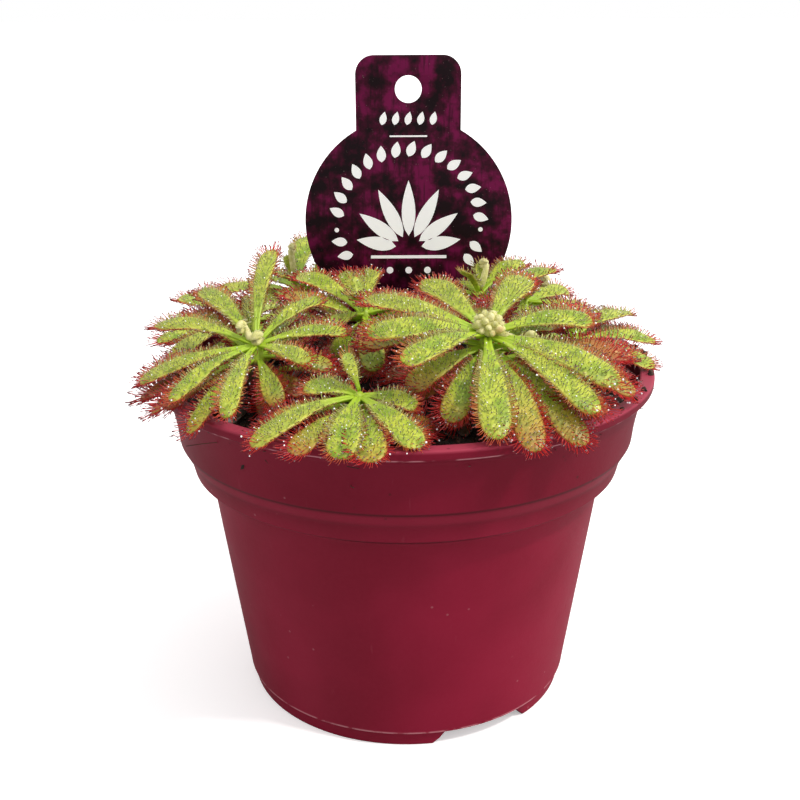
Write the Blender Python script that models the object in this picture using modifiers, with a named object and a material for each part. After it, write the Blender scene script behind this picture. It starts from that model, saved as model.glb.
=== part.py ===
"""Potted sundew: a low burgundy pot of peat with a clump of sundew rosettes and an upright plastic label.

Units are metres and +Z is up. The origin lies on the pot's axis, on the surface that the pot stands on.
The front of the plant faces -Y.
"""

import math
import random

import bmesh
import bpy
from mathutils import Matrix, Vector

# Pot: (radius, height) pairs up the outside of its moulded wall, then its lip, foot and floor.
SIDES = 36
CREASE = math.radians(35)
BODY = ((0.0417, 0.0039), (0.0492, 0.0576))
LOWER_BAND = ((0.0531, 0.0597), (0.0540, 0.0636))
UPPER_BAND = ((0.0562, 0.0677), (0.0567, 0.0728), (0.0581, 0.0798))
WALL = 0.0013
LIP_RADIUS = 0.0607
LIP_BOTTOM = 0.0813
LIP_TOP = 0.0835
LIP_ROUNDING = 0.0007
FOOT_RADIUS = 0.0407
FOOT_WIDTH = 0.0018
FLOOR_BOTTOM = 0.0038
FLOOR_TOP = 0.0052

# Foot gaps: their places as angles from the front towards +X, and the share of their width left at the top.
FOOT_GAPS = (27, 207)
FOOT_GAP_WIDTH = 0.0258
FOOT_GAP_HEIGHT = 0.0035
FOOT_GAP_DEPTH = 0.0080
FOOT_GAP_TAPER = 0.86
DRAIN_COUNT = 6
DRAIN_RADIUS = 0.0035
DRAIN_CIRCLE = 0.0270
PAST = 0.0020

# Peat: it fills the pot to just under the lip and is heaped a little towards the middle.
FIT_GAP = 0.00035
PEAT_EDGE = 0.0780
PEAT_HEAP = 0.0050
PEAT_BUMP = 0.0006
PEAT_RINGS = 4
PEAT_CLUMP = (0.0490, -0.0020)
PEAT_CLUMP_RISE = 0.0065
PEAT_CLUMP_RADIUS = 0.0075

# Label: a round plastic disc with a neck above it and a pointed stake below it.
LABEL_PLACE = (0.0011, 0.0270)
LABEL_THICKNESS = 0.0006
DISC_RADIUS = 0.0271
DISC_HEIGHT = 0.1132
NECK_HALF = 0.0134
LABEL_TOP = 0.1552
LABEL_CORNER = 0.0047
HANG_HOLE_RADIUS = 0.0034
HANG_HOLE_HEIGHT = 0.1469
STAKE_HALF = 0.0060
STAKE_POINT = 0.0120
STAKE_TIP = 0.0520
SLOT_TOP = 0.0900

# Stems, cores and stalks: the parts of a rosette that carry its leaves and buds.
STEM_RADIUS = 0.0024
STEM_DEPTH = 0.0045
STEM_SIDES = 10
CORE_RADIUS = 0.0037
CORE_LENGTH = 0.0110
CORE_SIDES = 9
STEM_CLEAR = 0.0010
CROWN_DROP = 0.0085
STALK_FOOT, STALK_TOP = 0.0012, 0.0009

# Leaves: a leaf's stations are shares of its length, and its age runs from 0, in the bud, to 1, withering.
# The young leaves are given as (share of the length, age).
GOLDEN_ANGLE = 137.508
LEAF_THICKNESS = 0.0010
LEAF_STATIONS = (0.07, 0.44, 0.72, 0.90)
YOUNG_STATIONS = (0.07, 0.60, 0.88)
LISTED_AGES = (0.32, 0.62)
FOLLOWING_AGES = (0.30, 0.66)
OLDER_AGES = (0.85, 1.0)
YOUNG_AGE = 0.25
YOUNG_LEAVES = ((0.30, 0.06), (0.42, 0.14))
YOUNG_TURN = 40

# A leaf's growth, as pairs for a young leaf and a full-grown one: its width, and its rise at the root and its
# droop along its length in degrees. After that it sinks with age.
GROWN = (0.05, 0.30)
WIDTH_GROWTH = (0.45, 1.0)
RISE = (64, 15)
DROOP = (8, 34)
SINK = 31

# A leaf's outline: its base's share of the full width, where the blade widens and where its round end starts.
BASE_SHARE = 0.26
WIDENS = (0.10, 0.78)
ROUND_END = 0.82
CUP_AT_BASE, CUP_AT_TIP = 0.30, -0.12

# Tentacles along the outer half of a leaf's edge: how they point, as shares forwards and upwards.
TENTACLE_HALF = 0.00045
TENTACLE_LENGTH = 0.0029
TENTACLE_FORWARD, TENTACLE_UPWARD = 0.55, 0.2
HAIRY_FROM = 2

# Room for the leaves: the plant's reach, the clearance between rosettes, and how a leaf is bent clear.
REACH = 0.0655
CLEAR = 0.0004
OVERHANG_LEAN = 32.0
OVERHANG_STEP = 0.0030
HANG_RADIUS = 0.0620
HANG_BELOW_LIP = 0.0100
LIFTS = (0, -8, 8, 16, 26)
SHORTEST = 0.35
SHORTENING = 0.04
LIFT_COST = 110
MERGE = 0.000003

# Each rosette: the seed of its leaves' small differences, the place of its crown, its tilt and the way that it
# tilts (degrees, 0 is +X and 90 is +Y), its leaf length and half-width, how far it spreads over its neighbours
# (1 is evenly), its upper leaves as (azimuth, share of the length), how many further upper leaves follow the
# golden angle, how many older leaves lie under them, how many young ones stand at its crown, and its coiled
# flower scapes as steps from the crown along the rosette's own axes, with the bud's radius.
ROSETTES = {
    "rosette_front_right": dict(
        seed=4, crown=(0.0178, -0.0290, 0.0998), tilt=23, toward=-88,
        length=0.0340, half=0.0033, room=1.6, more=0, older=9, young=0,
        upper=(
            (158, 0.9), (173, 0.95), (191, 0.82), (208, 1.0), (226, 0.85), (248, 1.0), (268, 0.95), (287, 1.0),
            (311, 1.0), (299, 1.0), (328, 0.92), (346, 1.0), (18, 0.72), (40, 0.62), (68, 0.7), (94, 0.5),
            (124, 0.7),
        ),
        scapes=((0.0003, -0.0006, 0.0012, 0.0035), (0.0092, -0.0041, 0.0008, 0.0018)),
    ),
    "rosette_front_left": dict(
        seed=12, crown=(-0.0333, -0.0262, 0.0968), tilt=22, toward=-112,
        length=0.0300, half=0.0023, room=1.1, more=0, older=7, young=0,
        upper=(
            (117, 1.0), (101, 0.9), (86, 0.95), (70, 0.95), (52, 0.9), (34, 0.75), (14, 0.7), (350, 0.75),
            (325, 0.5), (291, 0.55), (262, 1.0), (240, 0.9), (221, 1.0), (205, 0.95), (190, 1.0), (172, 0.95),
            (150, 0.95), (133, 1.0),
        ),
        scapes=((0.0004, -0.0008, 0.0006, 0.0021), (-0.0031, 0.0020, 0.0022, 0.0019)),
    ),
    "rosette_front_middle": dict(
        seed=4, crown=(-0.0100, -0.0430, 0.0905), tilt=16, toward=-95,
        length=0.0270, half=0.0032, room=0.75, more=0, older=4, young=1,
        upper=(
            (212, 1.0), (190, 0.9), (160, 0.7), (238, 0.85), (258, 0.9), (279, 0.95), (302, 0.8), (325, 0.6),
            (352, 0.6), (120, 0.5),
        ),
        scapes=(),
    ),
    "rosette_middle": dict(
        seed=3, crown=(-0.0100, 0.0010, 0.0970), tilt=10, toward=-110,
        length=0.0260, half=0.0031, room=1.0, more=12, older=4, young=2, upper=(), scapes=(),
    ),
    "rosette_middle_right": dict(
        seed=1, crown=(0.0190, 0.0130, 0.0985), tilt=8, toward=-60,
        length=0.0230, half=0.0030, room=1.0, more=8, older=3, young=2, upper=(),
        scapes=((0.0006, 0.0020, 0.0060, 0.0017),),
    ),
    "rosette_right": dict(
        seed=1, crown=(0.0420, 0.0030, 0.0895), tilt=12, toward=-70,
        length=0.0230, half=0.0029, room=1.0, more=10, older=4, young=2, upper=(), scapes=(),
    ),
    "rosette_left": dict(
        seed=5, crown=(-0.0420, 0.0130, 0.0915), tilt=15, toward=-115,
        length=0.0240, half=0.0029, room=1.0, more=11, older=4, young=2, upper=(), scapes=(),
    ),
    "rosette_back_left": dict(
        seed=8, crown=(-0.0300, 0.0385, 0.0945), tilt=18, toward=-110,
        length=0.0260, half=0.0031, room=1.0, more=12, older=5, young=2, upper=(),
        scapes=((0.0, 0.0040, 0.0082, 0.0020),),
    ),
    "rosette_back_right": dict(
        seed=2, crown=(0.0335, 0.0365, 0.0905), tilt=18, toward=-75,
        length=0.0260, half=0.0031, room=1.0, more=12, older=5, young=2, upper=(),
        scapes=((0.0030, -0.0060, 0.0090, 0.0024),),
    ),
    "rosette_back_middle": dict(
        seed=1, crown=(0.0010, 0.0450, 0.0920), tilt=16, toward=90,
        length=0.0210, half=0.0028, room=1.0, more=7, older=3, young=2, upper=(), scapes=(),
    ),
}


def clear_scene():
    for obj in list(bpy.data.objects):
        bpy.data.objects.remove(obj)


def collection_named(name):
    made = bpy.data.collections.new(name)
    bpy.context.scene.collection.children.link(made)
    return made


def plain_material(name, colour, roughness):
    made = bpy.data.materials.new(name)
    made.use_nodes = True
    shader = made.node_tree.nodes["Principled BSDF"]
    shader.inputs["Base Color"].default_value = (*colour, 1.0)
    shader.inputs["Roughness"].default_value = roughness
    shader.inputs["Metallic"].default_value = 0.0
    return made


def object_from(name, shape, collection, finish=None):
    """A new object from a bmesh, which is freed."""
    mesh = bpy.data.meshes.new(name)
    shape.to_mesh(mesh)
    shape.free()
    if finish:
        mesh.materials.append(finish)
    obj = bpy.data.objects.new(name, mesh)
    collection.objects.link(obj)
    return obj


def box(size, centre):
    shape = bmesh.new()
    bmesh.ops.create_cube(shape, size=1.0)
    bmesh.ops.scale(shape, vec=size, verts=shape.verts)
    bmesh.ops.translate(shape, vec=centre, verts=shape.verts)
    return shape


def cone(radius_low, radius_high, low, high, place, sides):
    """A closed upright cylinder or cone between two heights."""
    shape = bmesh.new()
    bmesh.ops.create_cone(
        shape, cap_ends=True, segments=sides, radius1=radius_low, radius2=radius_high, depth=high - low
    )
    bmesh.ops.translate(shape, vec=(*place, (low + high) / 2), verts=shape.verts)
    return shape


def cut(obj, cutter, solver="EXACT"):
    cutter.hide_render = True
    cutter.display_type = "WIRE"
    change = obj.modifiers.new("cut " + cutter.name, "BOOLEAN")
    change.operation = "DIFFERENCE"
    change.solver = solver
    change.object = cutter


def applied(obj):
    """The object with its modifiers made part of its mesh."""
    bpy.context.view_layer.update()
    graph = bpy.context.evaluated_depsgraph_get()
    mesh = bpy.data.meshes.new_from_object(obj.evaluated_get(graph))
    obj.modifiers.clear()
    obj.data = mesh
    return obj


def shaded(obj):
    """The object with smooth shading between its creases."""
    obj.data.shade_smooth()
    obj.data.set_sharp_from_angle(angle=CREASE)
    return obj


def turned(name, profile, collection, finish):
    """A closed profile of (radius, height) points, turned once round the Z axis."""
    mesh = bpy.data.meshes.new(name)
    edges = [(i, i + 1) for i in range(len(profile) - 1)]
    mesh.from_pydata([(radius, 0.0, height) for radius, height in profile], edges, [])
    mesh.materials.append(finish)
    obj = bpy.data.objects.new(name, mesh)
    collection.objects.link(obj)
    screw = obj.modifiers.new("turn", "SCREW")
    screw.axis = "Z"
    screw.steps = SIDES
    screw.render_steps = SIDES
    screw.use_merge_vertices = True
    screw.merge_threshold = 0.00005
    return shaded(applied(obj))


def inner_wall(gap):
    """The inside of the pot's wall, from the floor up, moved inwards by a gap."""
    points = [(radius - WALL - gap, height + WALL) for radius, height in (*BODY, *LOWER_BAND, *UPPER_BAND)]
    points[0] = (points[0][0], FLOOR_TOP + gap)
    points[-1] = (points[-1][0], UPPER_BAND[-1][1])
    return points


def pot_profile():
    """Half of the pot's section, from the middle of its floor up the inside and down the outside."""
    inside = [(0.0, FLOOR_TOP), *inner_wall(0.0)]
    lip_inside = inside[-1][0] + LIP_ROUNDING / 2
    lip = [
        (lip_inside, LIP_TOP - LIP_ROUNDING),
        (lip_inside + LIP_ROUNDING, LIP_TOP),
        (LIP_RADIUS - LIP_ROUNDING, LIP_TOP),
        (LIP_RADIUS, LIP_TOP - LIP_ROUNDING),
        (LIP_RADIUS, LIP_BOTTOM),
    ]
    outside = [*reversed(UPPER_BAND), *reversed(LOWER_BAND), *reversed(BODY)]
    foot = [
        (FOOT_RADIUS, 0.0),
        (FOOT_RADIUS - FOOT_WIDTH, 0.0),
        (FOOT_RADIUS - FOOT_WIDTH, FLOOR_BOTTOM),
        (0.0, FLOOR_BOTTOM),
    ]
    return [*inside, *lip, *outside, *foot]


def foot_gap(angle):
    """A block with sloping ends that opens a gap in the foot."""
    size = (FOOT_GAP_WIDTH, FOOT_GAP_DEPTH, FOOT_GAP_HEIGHT + PAST)
    shape = box(size, (0.0, -FOOT_RADIUS, (FOOT_GAP_HEIGHT - PAST) / 2))
    top = [vert for vert in shape.verts if vert.co.z > 0]
    bmesh.ops.scale(shape, vec=(FOOT_GAP_TAPER, 1.0, 1.0), verts=top)
    bmesh.ops.rotate(shape, matrix=Matrix.Rotation(math.radians(angle), 3, "Z"), verts=shape.verts)
    return shape


def make_pot(parts, cutters):
    """The manifold solver is used here because the exact one leaves the gaps' edges open."""
    pot = turned("pot", pot_profile(), parts, plain_material("burgundy plastic", (0.27, 0.018, 0.045), 0.42))
    for index, angle in enumerate(FOOT_GAPS):
        cut(pot, object_from(f"foot_gap_{index}", foot_gap(angle), cutters), "MANIFOLD")
    for index in range(DRAIN_COUNT):
        turn = 2 * math.pi * (index + 0.5) / DRAIN_COUNT
        place = (DRAIN_CIRCLE * math.cos(turn), DRAIN_CIRCLE * math.sin(turn))
        hole = cone(DRAIN_RADIUS, DRAIN_RADIUS, FLOOR_BOTTOM - PAST, FLOOR_TOP + PAST, place, 10)
        cut(pot, object_from(f"drain_{index}", hole, cutters), "MANIFOLD")


def peat_height(x, y):
    """Height of the peat's surface."""
    heap = PEAT_HEAP * max(0.0, 1 - (x * x + y * y) / UPPER_BAND[0][0] ** 2)
    bumps = math.sin(410 * x + 1.3) * math.cos(370 * y - 0.4) + 0.6 * math.sin(790 * x - 530 * y)
    away = math.hypot(x - PEAT_CLUMP[0], y - PEAT_CLUMP[1]) / PEAT_CLUMP_RADIUS
    return PEAT_EDGE + heap + PEAT_BUMP * bumps + PEAT_CLUMP_RISE * math.exp(-away * away)


def make_peat(parts, cutters):
    """The filling: the shape of the pot's inside, turned, with its flat top then raised into bumps."""
    side = [point for point in inner_wall(FIT_GAP) if point[1] < PEAT_EDGE - PAST]
    edge = side[-1][0]
    top = [(edge * (1 - step / PEAT_RINGS), PEAT_EDGE) for step in range(PEAT_RINGS + 1)]
    outline = [(0.0, FLOOR_TOP + FIT_GAP), *side, *top]
    peat = turned("peat", outline[::-1], parts, plain_material("peat", (0.035, 0.020, 0.014), 0.95))
    for vert in peat.data.vertices:
        if vert.co.z > PEAT_EDGE - PAST / 2:
            vert.co.z = peat_height(vert.co.x, vert.co.y)
    for name, rosette in ROSETTES.items():
        place = rosette["crown"][:2]
        radius = STEM_RADIUS + FIT_GAP
        surface = peat_height(*place)
        hole = cone(radius, radius, surface - STEM_DEPTH - FIT_GAP, surface + 2 * PAST, place, STEM_SIDES)
        cut(peat, object_from("hole_" + name, hole, cutters))
    low = STAKE_TIP - FIT_GAP
    size = (2 * (STAKE_HALF + FIT_GAP), LABEL_THICKNESS + 2 * FIT_GAP, SLOT_TOP - low)
    cut(peat, object_from("stake_slot", box(size, (*LABEL_PLACE, (low + SLOT_TOP) / 2)), cutters))


def arc(centre, radius, start, end, steps):
    """Points along a circle, with its angles in degrees."""
    turns = [math.radians(start + (end - start) * step / steps) for step in range(steps + 1)]
    return [(centre[0] + radius * math.cos(turn), centre[1] + radius * math.sin(turn)) for turn in turns]


def label_outline():
    """The label's edge, anticlockwise from the point of its stake."""
    neck_turn = math.degrees(math.acos(NECK_HALF / DISC_RADIUS))
    stake_turn = math.degrees(math.acos(STAKE_HALF / DISC_RADIUS))
    disc = (0.0, DISC_HEIGHT)
    corner_x, corner_z = NECK_HALF - LABEL_CORNER, LABEL_TOP - LABEL_CORNER
    return [
        (0.0, STAKE_TIP),
        (STAKE_HALF, STAKE_TIP + STAKE_POINT),
        *arc(disc, DISC_RADIUS, -stake_turn, neck_turn, 14),
        *arc((corner_x, corner_z), LABEL_CORNER, 0, 90, 4),
        *arc((-corner_x, corner_z), LABEL_CORNER, 90, 180, 4),
        *arc(disc, DISC_RADIUS, 180 - neck_turn, 180 + stake_turn, 14),
        (-STAKE_HALF, STAKE_TIP + STAKE_POINT),
    ]


def make_label(parts):
    """A flat outline with a hanging hole, stood upright with its face to the front."""
    curve = bpy.data.curves.new("label", "CURVE")
    curve.dimensions = "2D"
    curve.fill_mode = "BOTH"
    curve.extrude = LABEL_THICKNESS / 2
    hole = arc((0.0, HANG_HOLE_HEIGHT), HANG_HOLE_RADIUS, 0, 340, 17)
    for outline in (label_outline(), hole):
        line = curve.splines.new("POLY")
        line.points.add(len(outline) - 1)
        for point, (x, z) in zip(line.points, outline):
            point.co = (x, z, 0.0, 1.0)
        line.use_cyclic_u = True
    curve.materials.append(plain_material("label plastic", (0.030, 0.004, 0.018), 0.35))
    label = bpy.data.objects.new("label", curve)
    parts.objects.link(label)
    label.location = (*LABEL_PLACE, 0.0)
    label.rotation_euler = (math.radians(90), 0.0, 0.0)


def mix(a, b, share):
    return a + (b - a) * share


def smooth(value, low, high):
    """0 below low, 1 above high and an S-shaped rise between."""
    share = min(1.0, max(0.0, (value - low) / (high - low)))
    return share * share * (3 - 2 * share)


def dividing_planes(name):
    """Planes (point, outward direction) round the room in which a rosette's leaves stay clear of the others.

    A plane leans over a lower neighbour. The last one is the label's near face.
    """
    own = ROSETTES[name]
    place = Vector(own["crown"])
    planes = []
    for other_name, other in ROSETTES.items():
        if other_name == name:
            continue
        there = Vector(other["crown"])
        away = Vector((there.x - place.x, there.y - place.y, 0.0)).normalized()
        lean = math.radians(OVERHANG_LEAN) * max(-1.0, min(1.0, (place.z - there.z) / OVERHANG_STEP))
        outward = away * math.cos(lean) - Vector((0.0, 0.0, math.sin(lean)))
        share = own["length"] * own["room"], other["length"] * other["room"]
        planes.append((place.lerp(there, share[0] / sum(share)), outward))
    side = -1 if place.y < LABEL_PLACE[1] else 1
    face = Vector((0.0, LABEL_PLACE[1] + side * LABEL_THICKNESS / 2, 0.0))
    planes.append((face, Vector((0.0, -side, 0.0))))
    return planes


def floor_height(x, y):
    """The lowest height that a leaf may have over the peat, over the lip and outside it."""
    radius = math.hypot(x, y)
    if radius > HANG_RADIUS:
        return LIP_BOTTOM - HANG_BELOW_LIP
    if radius > LOWER_BAND[0][0]:
        return LIP_TOP + CLEAR
    return peat_height(x, y) + CLEAR


def rosette_axes(rosette):
    """A matrix whose columns are the tilted rosette's own right, back and up directions."""
    toward = math.radians(rosette["toward"])
    axis = Vector((-math.sin(toward), math.cos(toward), 0.0))
    return Matrix.Rotation(math.radians(rosette["tilt"]), 3, axis)


def free_stem(rosette):
    """The length of a rosette's stem above the peat."""
    x, y, height = rosette["crown"]
    return height - peat_height(x, y) - STEM_CLEAR


def leaf_plan(name):
    """Every leaf of a rosette, as a dict of its age, length, half-width and angles in radians.

    Leaves that lie side by side differ in age, and so in height, and pass over each other.
    """
    rosette = ROSETTES[name]
    draw = random.Random(rosette["seed"])
    start = draw.uniform(0, 360)
    leaves = [(azimuth, share, LISTED_AGES[i % 2]) for i, (azimuth, share) in enumerate(rosette["upper"])]
    for i in range(rosette["more"]):
        age = mix(*FOLLOWING_AGES, i / rosette["more"])
        leaves.append((start + GOLDEN_ANGLE * i, draw.uniform(0.9, 1.04), age))
    for i in range(rosette["older"]):
        azimuth = start + 360 * (i + draw.uniform(-0.2, 0.2)) / rosette["older"]
        leaves.append((azimuth, draw.uniform(0.88, 1.0), draw.uniform(*OLDER_AGES)))
    for i, (share, age) in enumerate(YOUNG_LEAVES[: rosette["young"]]):
        leaves.append((start + YOUNG_TURN + GOLDEN_ANGLE * i, share, age))
    plan = []
    for azimuth, share, age in leaves:
        grown = smooth(age, *GROWN)
        rise = mix(*RISE, grown) - SINK * max(0.0, age - GROWN[1])
        plan.append(
            dict(
                azimuth=math.radians(azimuth),
                age=age,
                length=rosette["length"] * share,
                half=rosette["half"] * mix(*WIDTH_GROWTH, grown) * draw.uniform(0.92, 1.10),
                rise=math.radians(rise + draw.uniform(-1.5, 1.5)),
                droop=math.radians(mix(*DROOP, grown) + draw.uniform(-3, 5)),
                bend=math.radians(draw.uniform(-9, 9)),
                roll=math.radians(draw.uniform(-6, 6)),
            )
        )
    return plan


def half_width(leaf, share):
    """Half of a leaf's width at a share of its length: a narrow base, then a broad blade with a round end."""
    blade = mix(BASE_SHARE, 1.0, smooth(share, *WIDENS))
    end = max(0.0, (share - ROUND_END) / (1.03 - ROUND_END))
    return leaf["half"] * blade * math.sqrt(1 - end * end)


def sections(rosette, leaf, lift, share, stations):
    """The leaf at each station and at its tip: its middle, its own three directions and its two edges.

    The blade is a trough near its base and arched near its tip.
    """
    right, back, up = rosette_axes(rosette).col
    drop = min(CROWN_DROP, free_stem(rosette)) * leaf["age"] ** 1.5
    middle = Vector(rosette["crown"]) - Vector((0.0, 0.0, drop))
    found = []
    before = 0.0
    for station in (*stations, 1.0):
        half_way = (before + station) / 2
        turn = leaf["azimuth"] + leaf["bend"] * half_way
        slope = leaf["rise"] + lift - leaf["droop"] * half_way**1.5
        out = right * math.cos(turn) + back * math.sin(turn)
        along = out * math.cos(slope) + up * math.sin(slope)
        middle = middle + along * leaf["length"] * share * (station - before)
        side = Matrix.Rotation(leaf["roll"] * station, 3, along) @ along.cross(up).normalized()
        over = side.cross(along)
        half = half_width(leaf, station)
        cup = over * half * mix(CUP_AT_BASE, CUP_AT_TIP, station)
        found.append((middle, along, side, over, (middle - side * half + cup, middle + side * half + cup)))
        before = station
    return found


def beyond(point, planes):
    """How far a point lies outside its rosette's room, past the plant's reach or under the floor."""
    over = max((point - place).dot(outward) for place, outward in planes)
    out = math.hypot(point.x, point.y) - REACH
    under = floor_height(point.x, point.y) - point.z
    return max(over + CLEAR, out, under)


def worst(found, planes):
    """How far a leaf reaches beyond its room, looking along its two edges and under its midrib."""
    lines = [[section[4][0] for section in found], [section[4][1] for section in found]]
    lines.append([middle - over * LEAF_THICKNESS / 2 for middle, _, _, over, _ in found])
    points = []
    for line in lines:
        for a, b in zip(line, line[1:]):
            points += [a.lerp(b, step / 4) for step in range(1, 5)]
    return max(beyond(point, planes) for point in points)


def fitted(rosette, leaf, planes, stations):
    """The leaf's sections where it has the best room: by a neighbour it stands steeper or stays shorter."""
    best = None
    for lift in LIFTS:
        share = 1.0
        while True:
            found = sections(rosette, leaf, math.radians(lift), share, stations)
            crossing = worst(found, planes)
            if crossing < 0.0 or share < SHORTEST:
                break
            share -= SHORTENING
        worth = share - abs(lift) / LIFT_COST - max(0.0, crossing) * 1000
        if best is None or worth > best[0]:
            best = (worth, found)
    return best[1]


def tentacle(root, direction, length, planes):
    """The tip of a tentacle, drawn back where it would leave its rosette's room, or none."""
    for share in (1.0, 0.7, 0.45):
        tip = root + direction * length * share
        if beyond(tip, planes) < 0.0 and beyond(root.lerp(tip, 0.5), planes) < 0.0:
            return tip
    return None


def leaf_shape(rosette, leaf, planes):
    """A leaf as a thin lens lofted along its curved midrib, with its edge drawn out into tentacles.

    Its outline runs from the root along one side, round the tip and back. Each point of it is joined to the
    midrib's nearest station, above and below.
    """
    young = leaf["age"] < YOUNG_AGE
    stations = YOUNG_STATIONS if young else LEAF_STATIONS
    *found, end = fitted(rosette, leaf, planes, stations)
    last = len(found) - 1
    shape = bmesh.new()
    ribs = [
        [shape.verts.new(middle + over * LEAF_THICKNESS / 2 * way) for middle, _, _, over, _ in found]
        for way in (1, -1)
    ]
    outline = []

    def add_edge(place, along, outward, station, length):
        """One point of the edge or, with a length, the three points of a tentacle."""
        tip = tentacle(place, outward, length, planes) if length else None
        points = (place - along * TENTACLE_HALF, tip, place + along * TENTACLE_HALF) if tip else (place,)
        outline.extend((shape.verts.new(point), station) for point in points)

    for way in (-1, 1):
        for k in range(last + 1)[::-way]:
            _, along, side, over, edges = found[k]
            outward = (side * way + along * TENTACLE_FORWARD + over * TENTACLE_UPWARD).normalized()
            length = 0.0 if young or k < HAIRY_FROM else TENTACLE_LENGTH * mix(0.6, 1.0, k / last)
            add_edge(edges[way > 0], along * -way, outward, k, length)
        if way < 0:
            middle, along, side, _, _ = end
            add_edge(middle, side, along, last, 0.0 if young else TENTACLE_LENGTH)
    for rib, turn in zip(ribs, (1, -1)):
        for (a, k), (b, m) in zip(outline, outline[1:]):
            shape.faces.new((rib[k], a, b)[::turn])
            if m != k:
                shape.faces.new((rib[k], b, rib[m])[::turn])
    shape.faces.new((ribs[0][0], ribs[1][0], outline[0][0]))
    shape.faces.new((ribs[0][0], outline[-1][0], ribs[1][0]))
    bmesh.ops.recalc_face_normals(shape, faces=shape.faces)
    return shape


def scape_shapes(rosette, scape):
    """A young flower scape, still coiled up like a bud, on its short stalk."""
    *step, radius = scape
    crown = Vector(rosette["crown"])
    place = crown + rosette_axes(rosette) @ Vector(step)
    bud = bmesh.new()
    bmesh.ops.create_uvsphere(bud, u_segments=7, v_segments=5, radius=radius)
    bmesh.ops.translate(bud, vec=place, verts=bud.verts)
    line = place - crown
    stalk = bmesh.new()
    bmesh.ops.create_cone(
        stalk, cap_ends=True, segments=5, radius1=STALK_FOOT, radius2=STALK_TOP, depth=line.length
    )
    turn = line.to_track_quat("Z", "Y").to_matrix().to_4x4()
    bmesh.ops.transform(stalk, matrix=Matrix.Translation(crown + line / 2) @ turn, verts=stalk.verts)
    return bud, stalk


def keep_largest(obj):
    """Take away the specks that are left where three leaves meet, so that one closed skin remains."""
    shape = bmesh.new()
    shape.from_mesh(obj.data)
    bmesh.ops.remove_doubles(shape, verts=shape.verts, dist=MERGE)
    bmesh.ops.dissolve_degenerate(shape, edges=shape.edges, dist=MERGE)
    waiting = set(shape.faces)
    skins = []
    while waiting:
        skin, front = set(), [waiting.pop()]
        while front:
            face = front.pop()
            skin.add(face)
            joined = [edge for edge in face.edges if len(edge.link_faces) == 2]
            near = {other for edge in joined for other in edge.link_faces} & waiting
            waiting -= near
            front.extend(near)
        skins.append(skin)
    specks = [face for skin in skins if skin is not max(skins, key=len) for face in skin]
    bmesh.ops.delete(shape, geom=specks, context="FACES")
    shape.to_mesh(obj.data)
    shape.free()
    return obj


def make_rosette(name, parts, finish):
    """One plant: a stem in the peat that widens to a core, with its leaves and scapes joined in one body.

    The manifold solver is used because the exact one leaves the many crossing leaves open.
    """
    rosette = ROSETTES[name]
    *place, height = rosette["crown"]
    planes = dividing_planes(name)
    stem = cone(STEM_RADIUS, STEM_RADIUS, peat_height(*place) - STEM_DEPTH, height, place, STEM_SIDES)
    body = object_from(name, stem, parts, finish)
    pieces = collection_named("pieces of " + name)
    foot = height - min(CORE_LENGTH, free_stem(rosette))
    core = cone(CORE_RADIUS, CORE_RADIUS / 2, foot, height + STEM_CLEAR, place, CORE_SIDES)
    object_from("core", core, pieces)
    for leaf in leaf_plan(name):
        object_from("leaf", leaf_shape(rosette, leaf, planes), pieces)
    for scape in rosette["scapes"]:
        for shape in scape_shapes(rosette, scape):
            object_from("scape", shape, pieces)
    union = body.modifiers.new("join", "BOOLEAN")
    union.operation = "UNION"
    union.operand_type = "COLLECTION"
    union.collection = pieces
    union.solver = "MANIFOLD"
    shaded(keep_largest(applied(body)))
    for piece in list(pieces.objects):
        bpy.data.objects.remove(piece)
    bpy.data.collections.remove(pieces)


def main():
    clear_scene()
    parts = collection_named("potted sundew")
    cutters = collection_named("cutters")
    make_pot(parts, cutters)
    make_peat(parts, cutters)
    make_label(parts)
    foliage = plain_material("sundew leaf", (0.30, 0.45, 0.05), 0.35)
    for name in ROSETTES:
        make_rosette(name, parts, foliage)


main()
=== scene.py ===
import math
import random

import bmesh
import bpy
import numpy as np
from mathutils import Matrix, Vector, noise


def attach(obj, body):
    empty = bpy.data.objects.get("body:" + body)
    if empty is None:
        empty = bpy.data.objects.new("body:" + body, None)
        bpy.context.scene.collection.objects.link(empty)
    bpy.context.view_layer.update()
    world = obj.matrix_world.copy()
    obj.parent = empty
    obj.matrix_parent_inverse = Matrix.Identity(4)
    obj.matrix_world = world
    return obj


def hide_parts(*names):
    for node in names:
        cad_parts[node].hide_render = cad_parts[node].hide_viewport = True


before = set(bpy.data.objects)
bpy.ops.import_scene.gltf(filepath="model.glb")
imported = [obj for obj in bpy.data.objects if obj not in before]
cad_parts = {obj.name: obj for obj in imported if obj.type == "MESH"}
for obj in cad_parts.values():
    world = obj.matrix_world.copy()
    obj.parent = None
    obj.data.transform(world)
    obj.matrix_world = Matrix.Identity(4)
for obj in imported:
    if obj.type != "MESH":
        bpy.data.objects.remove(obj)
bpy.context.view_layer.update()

# Stage: a plain pale floor, soft studio light and the camera at the photograph's angle. The photograph is 800
# pixels wide. Its focal length, the standpoint and the slight roll were found from the pot's ellipses.
PHOTO_WIDTH = 800
FOCAL_PIXELS = 1112
EYE = Vector((-0.0014, -0.2643, 0.1656))
LOOKED_AT = Vector((-0.0014, 0.0, 0.0731))
ROLL = math.radians(-0.3)
FLOOR_SIZE = 40.0
WHITE = (1.0, 1.0, 1.0, 1.0)

scene = bpy.context.scene
scene.view_settings.view_transform = "Standard"


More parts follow.
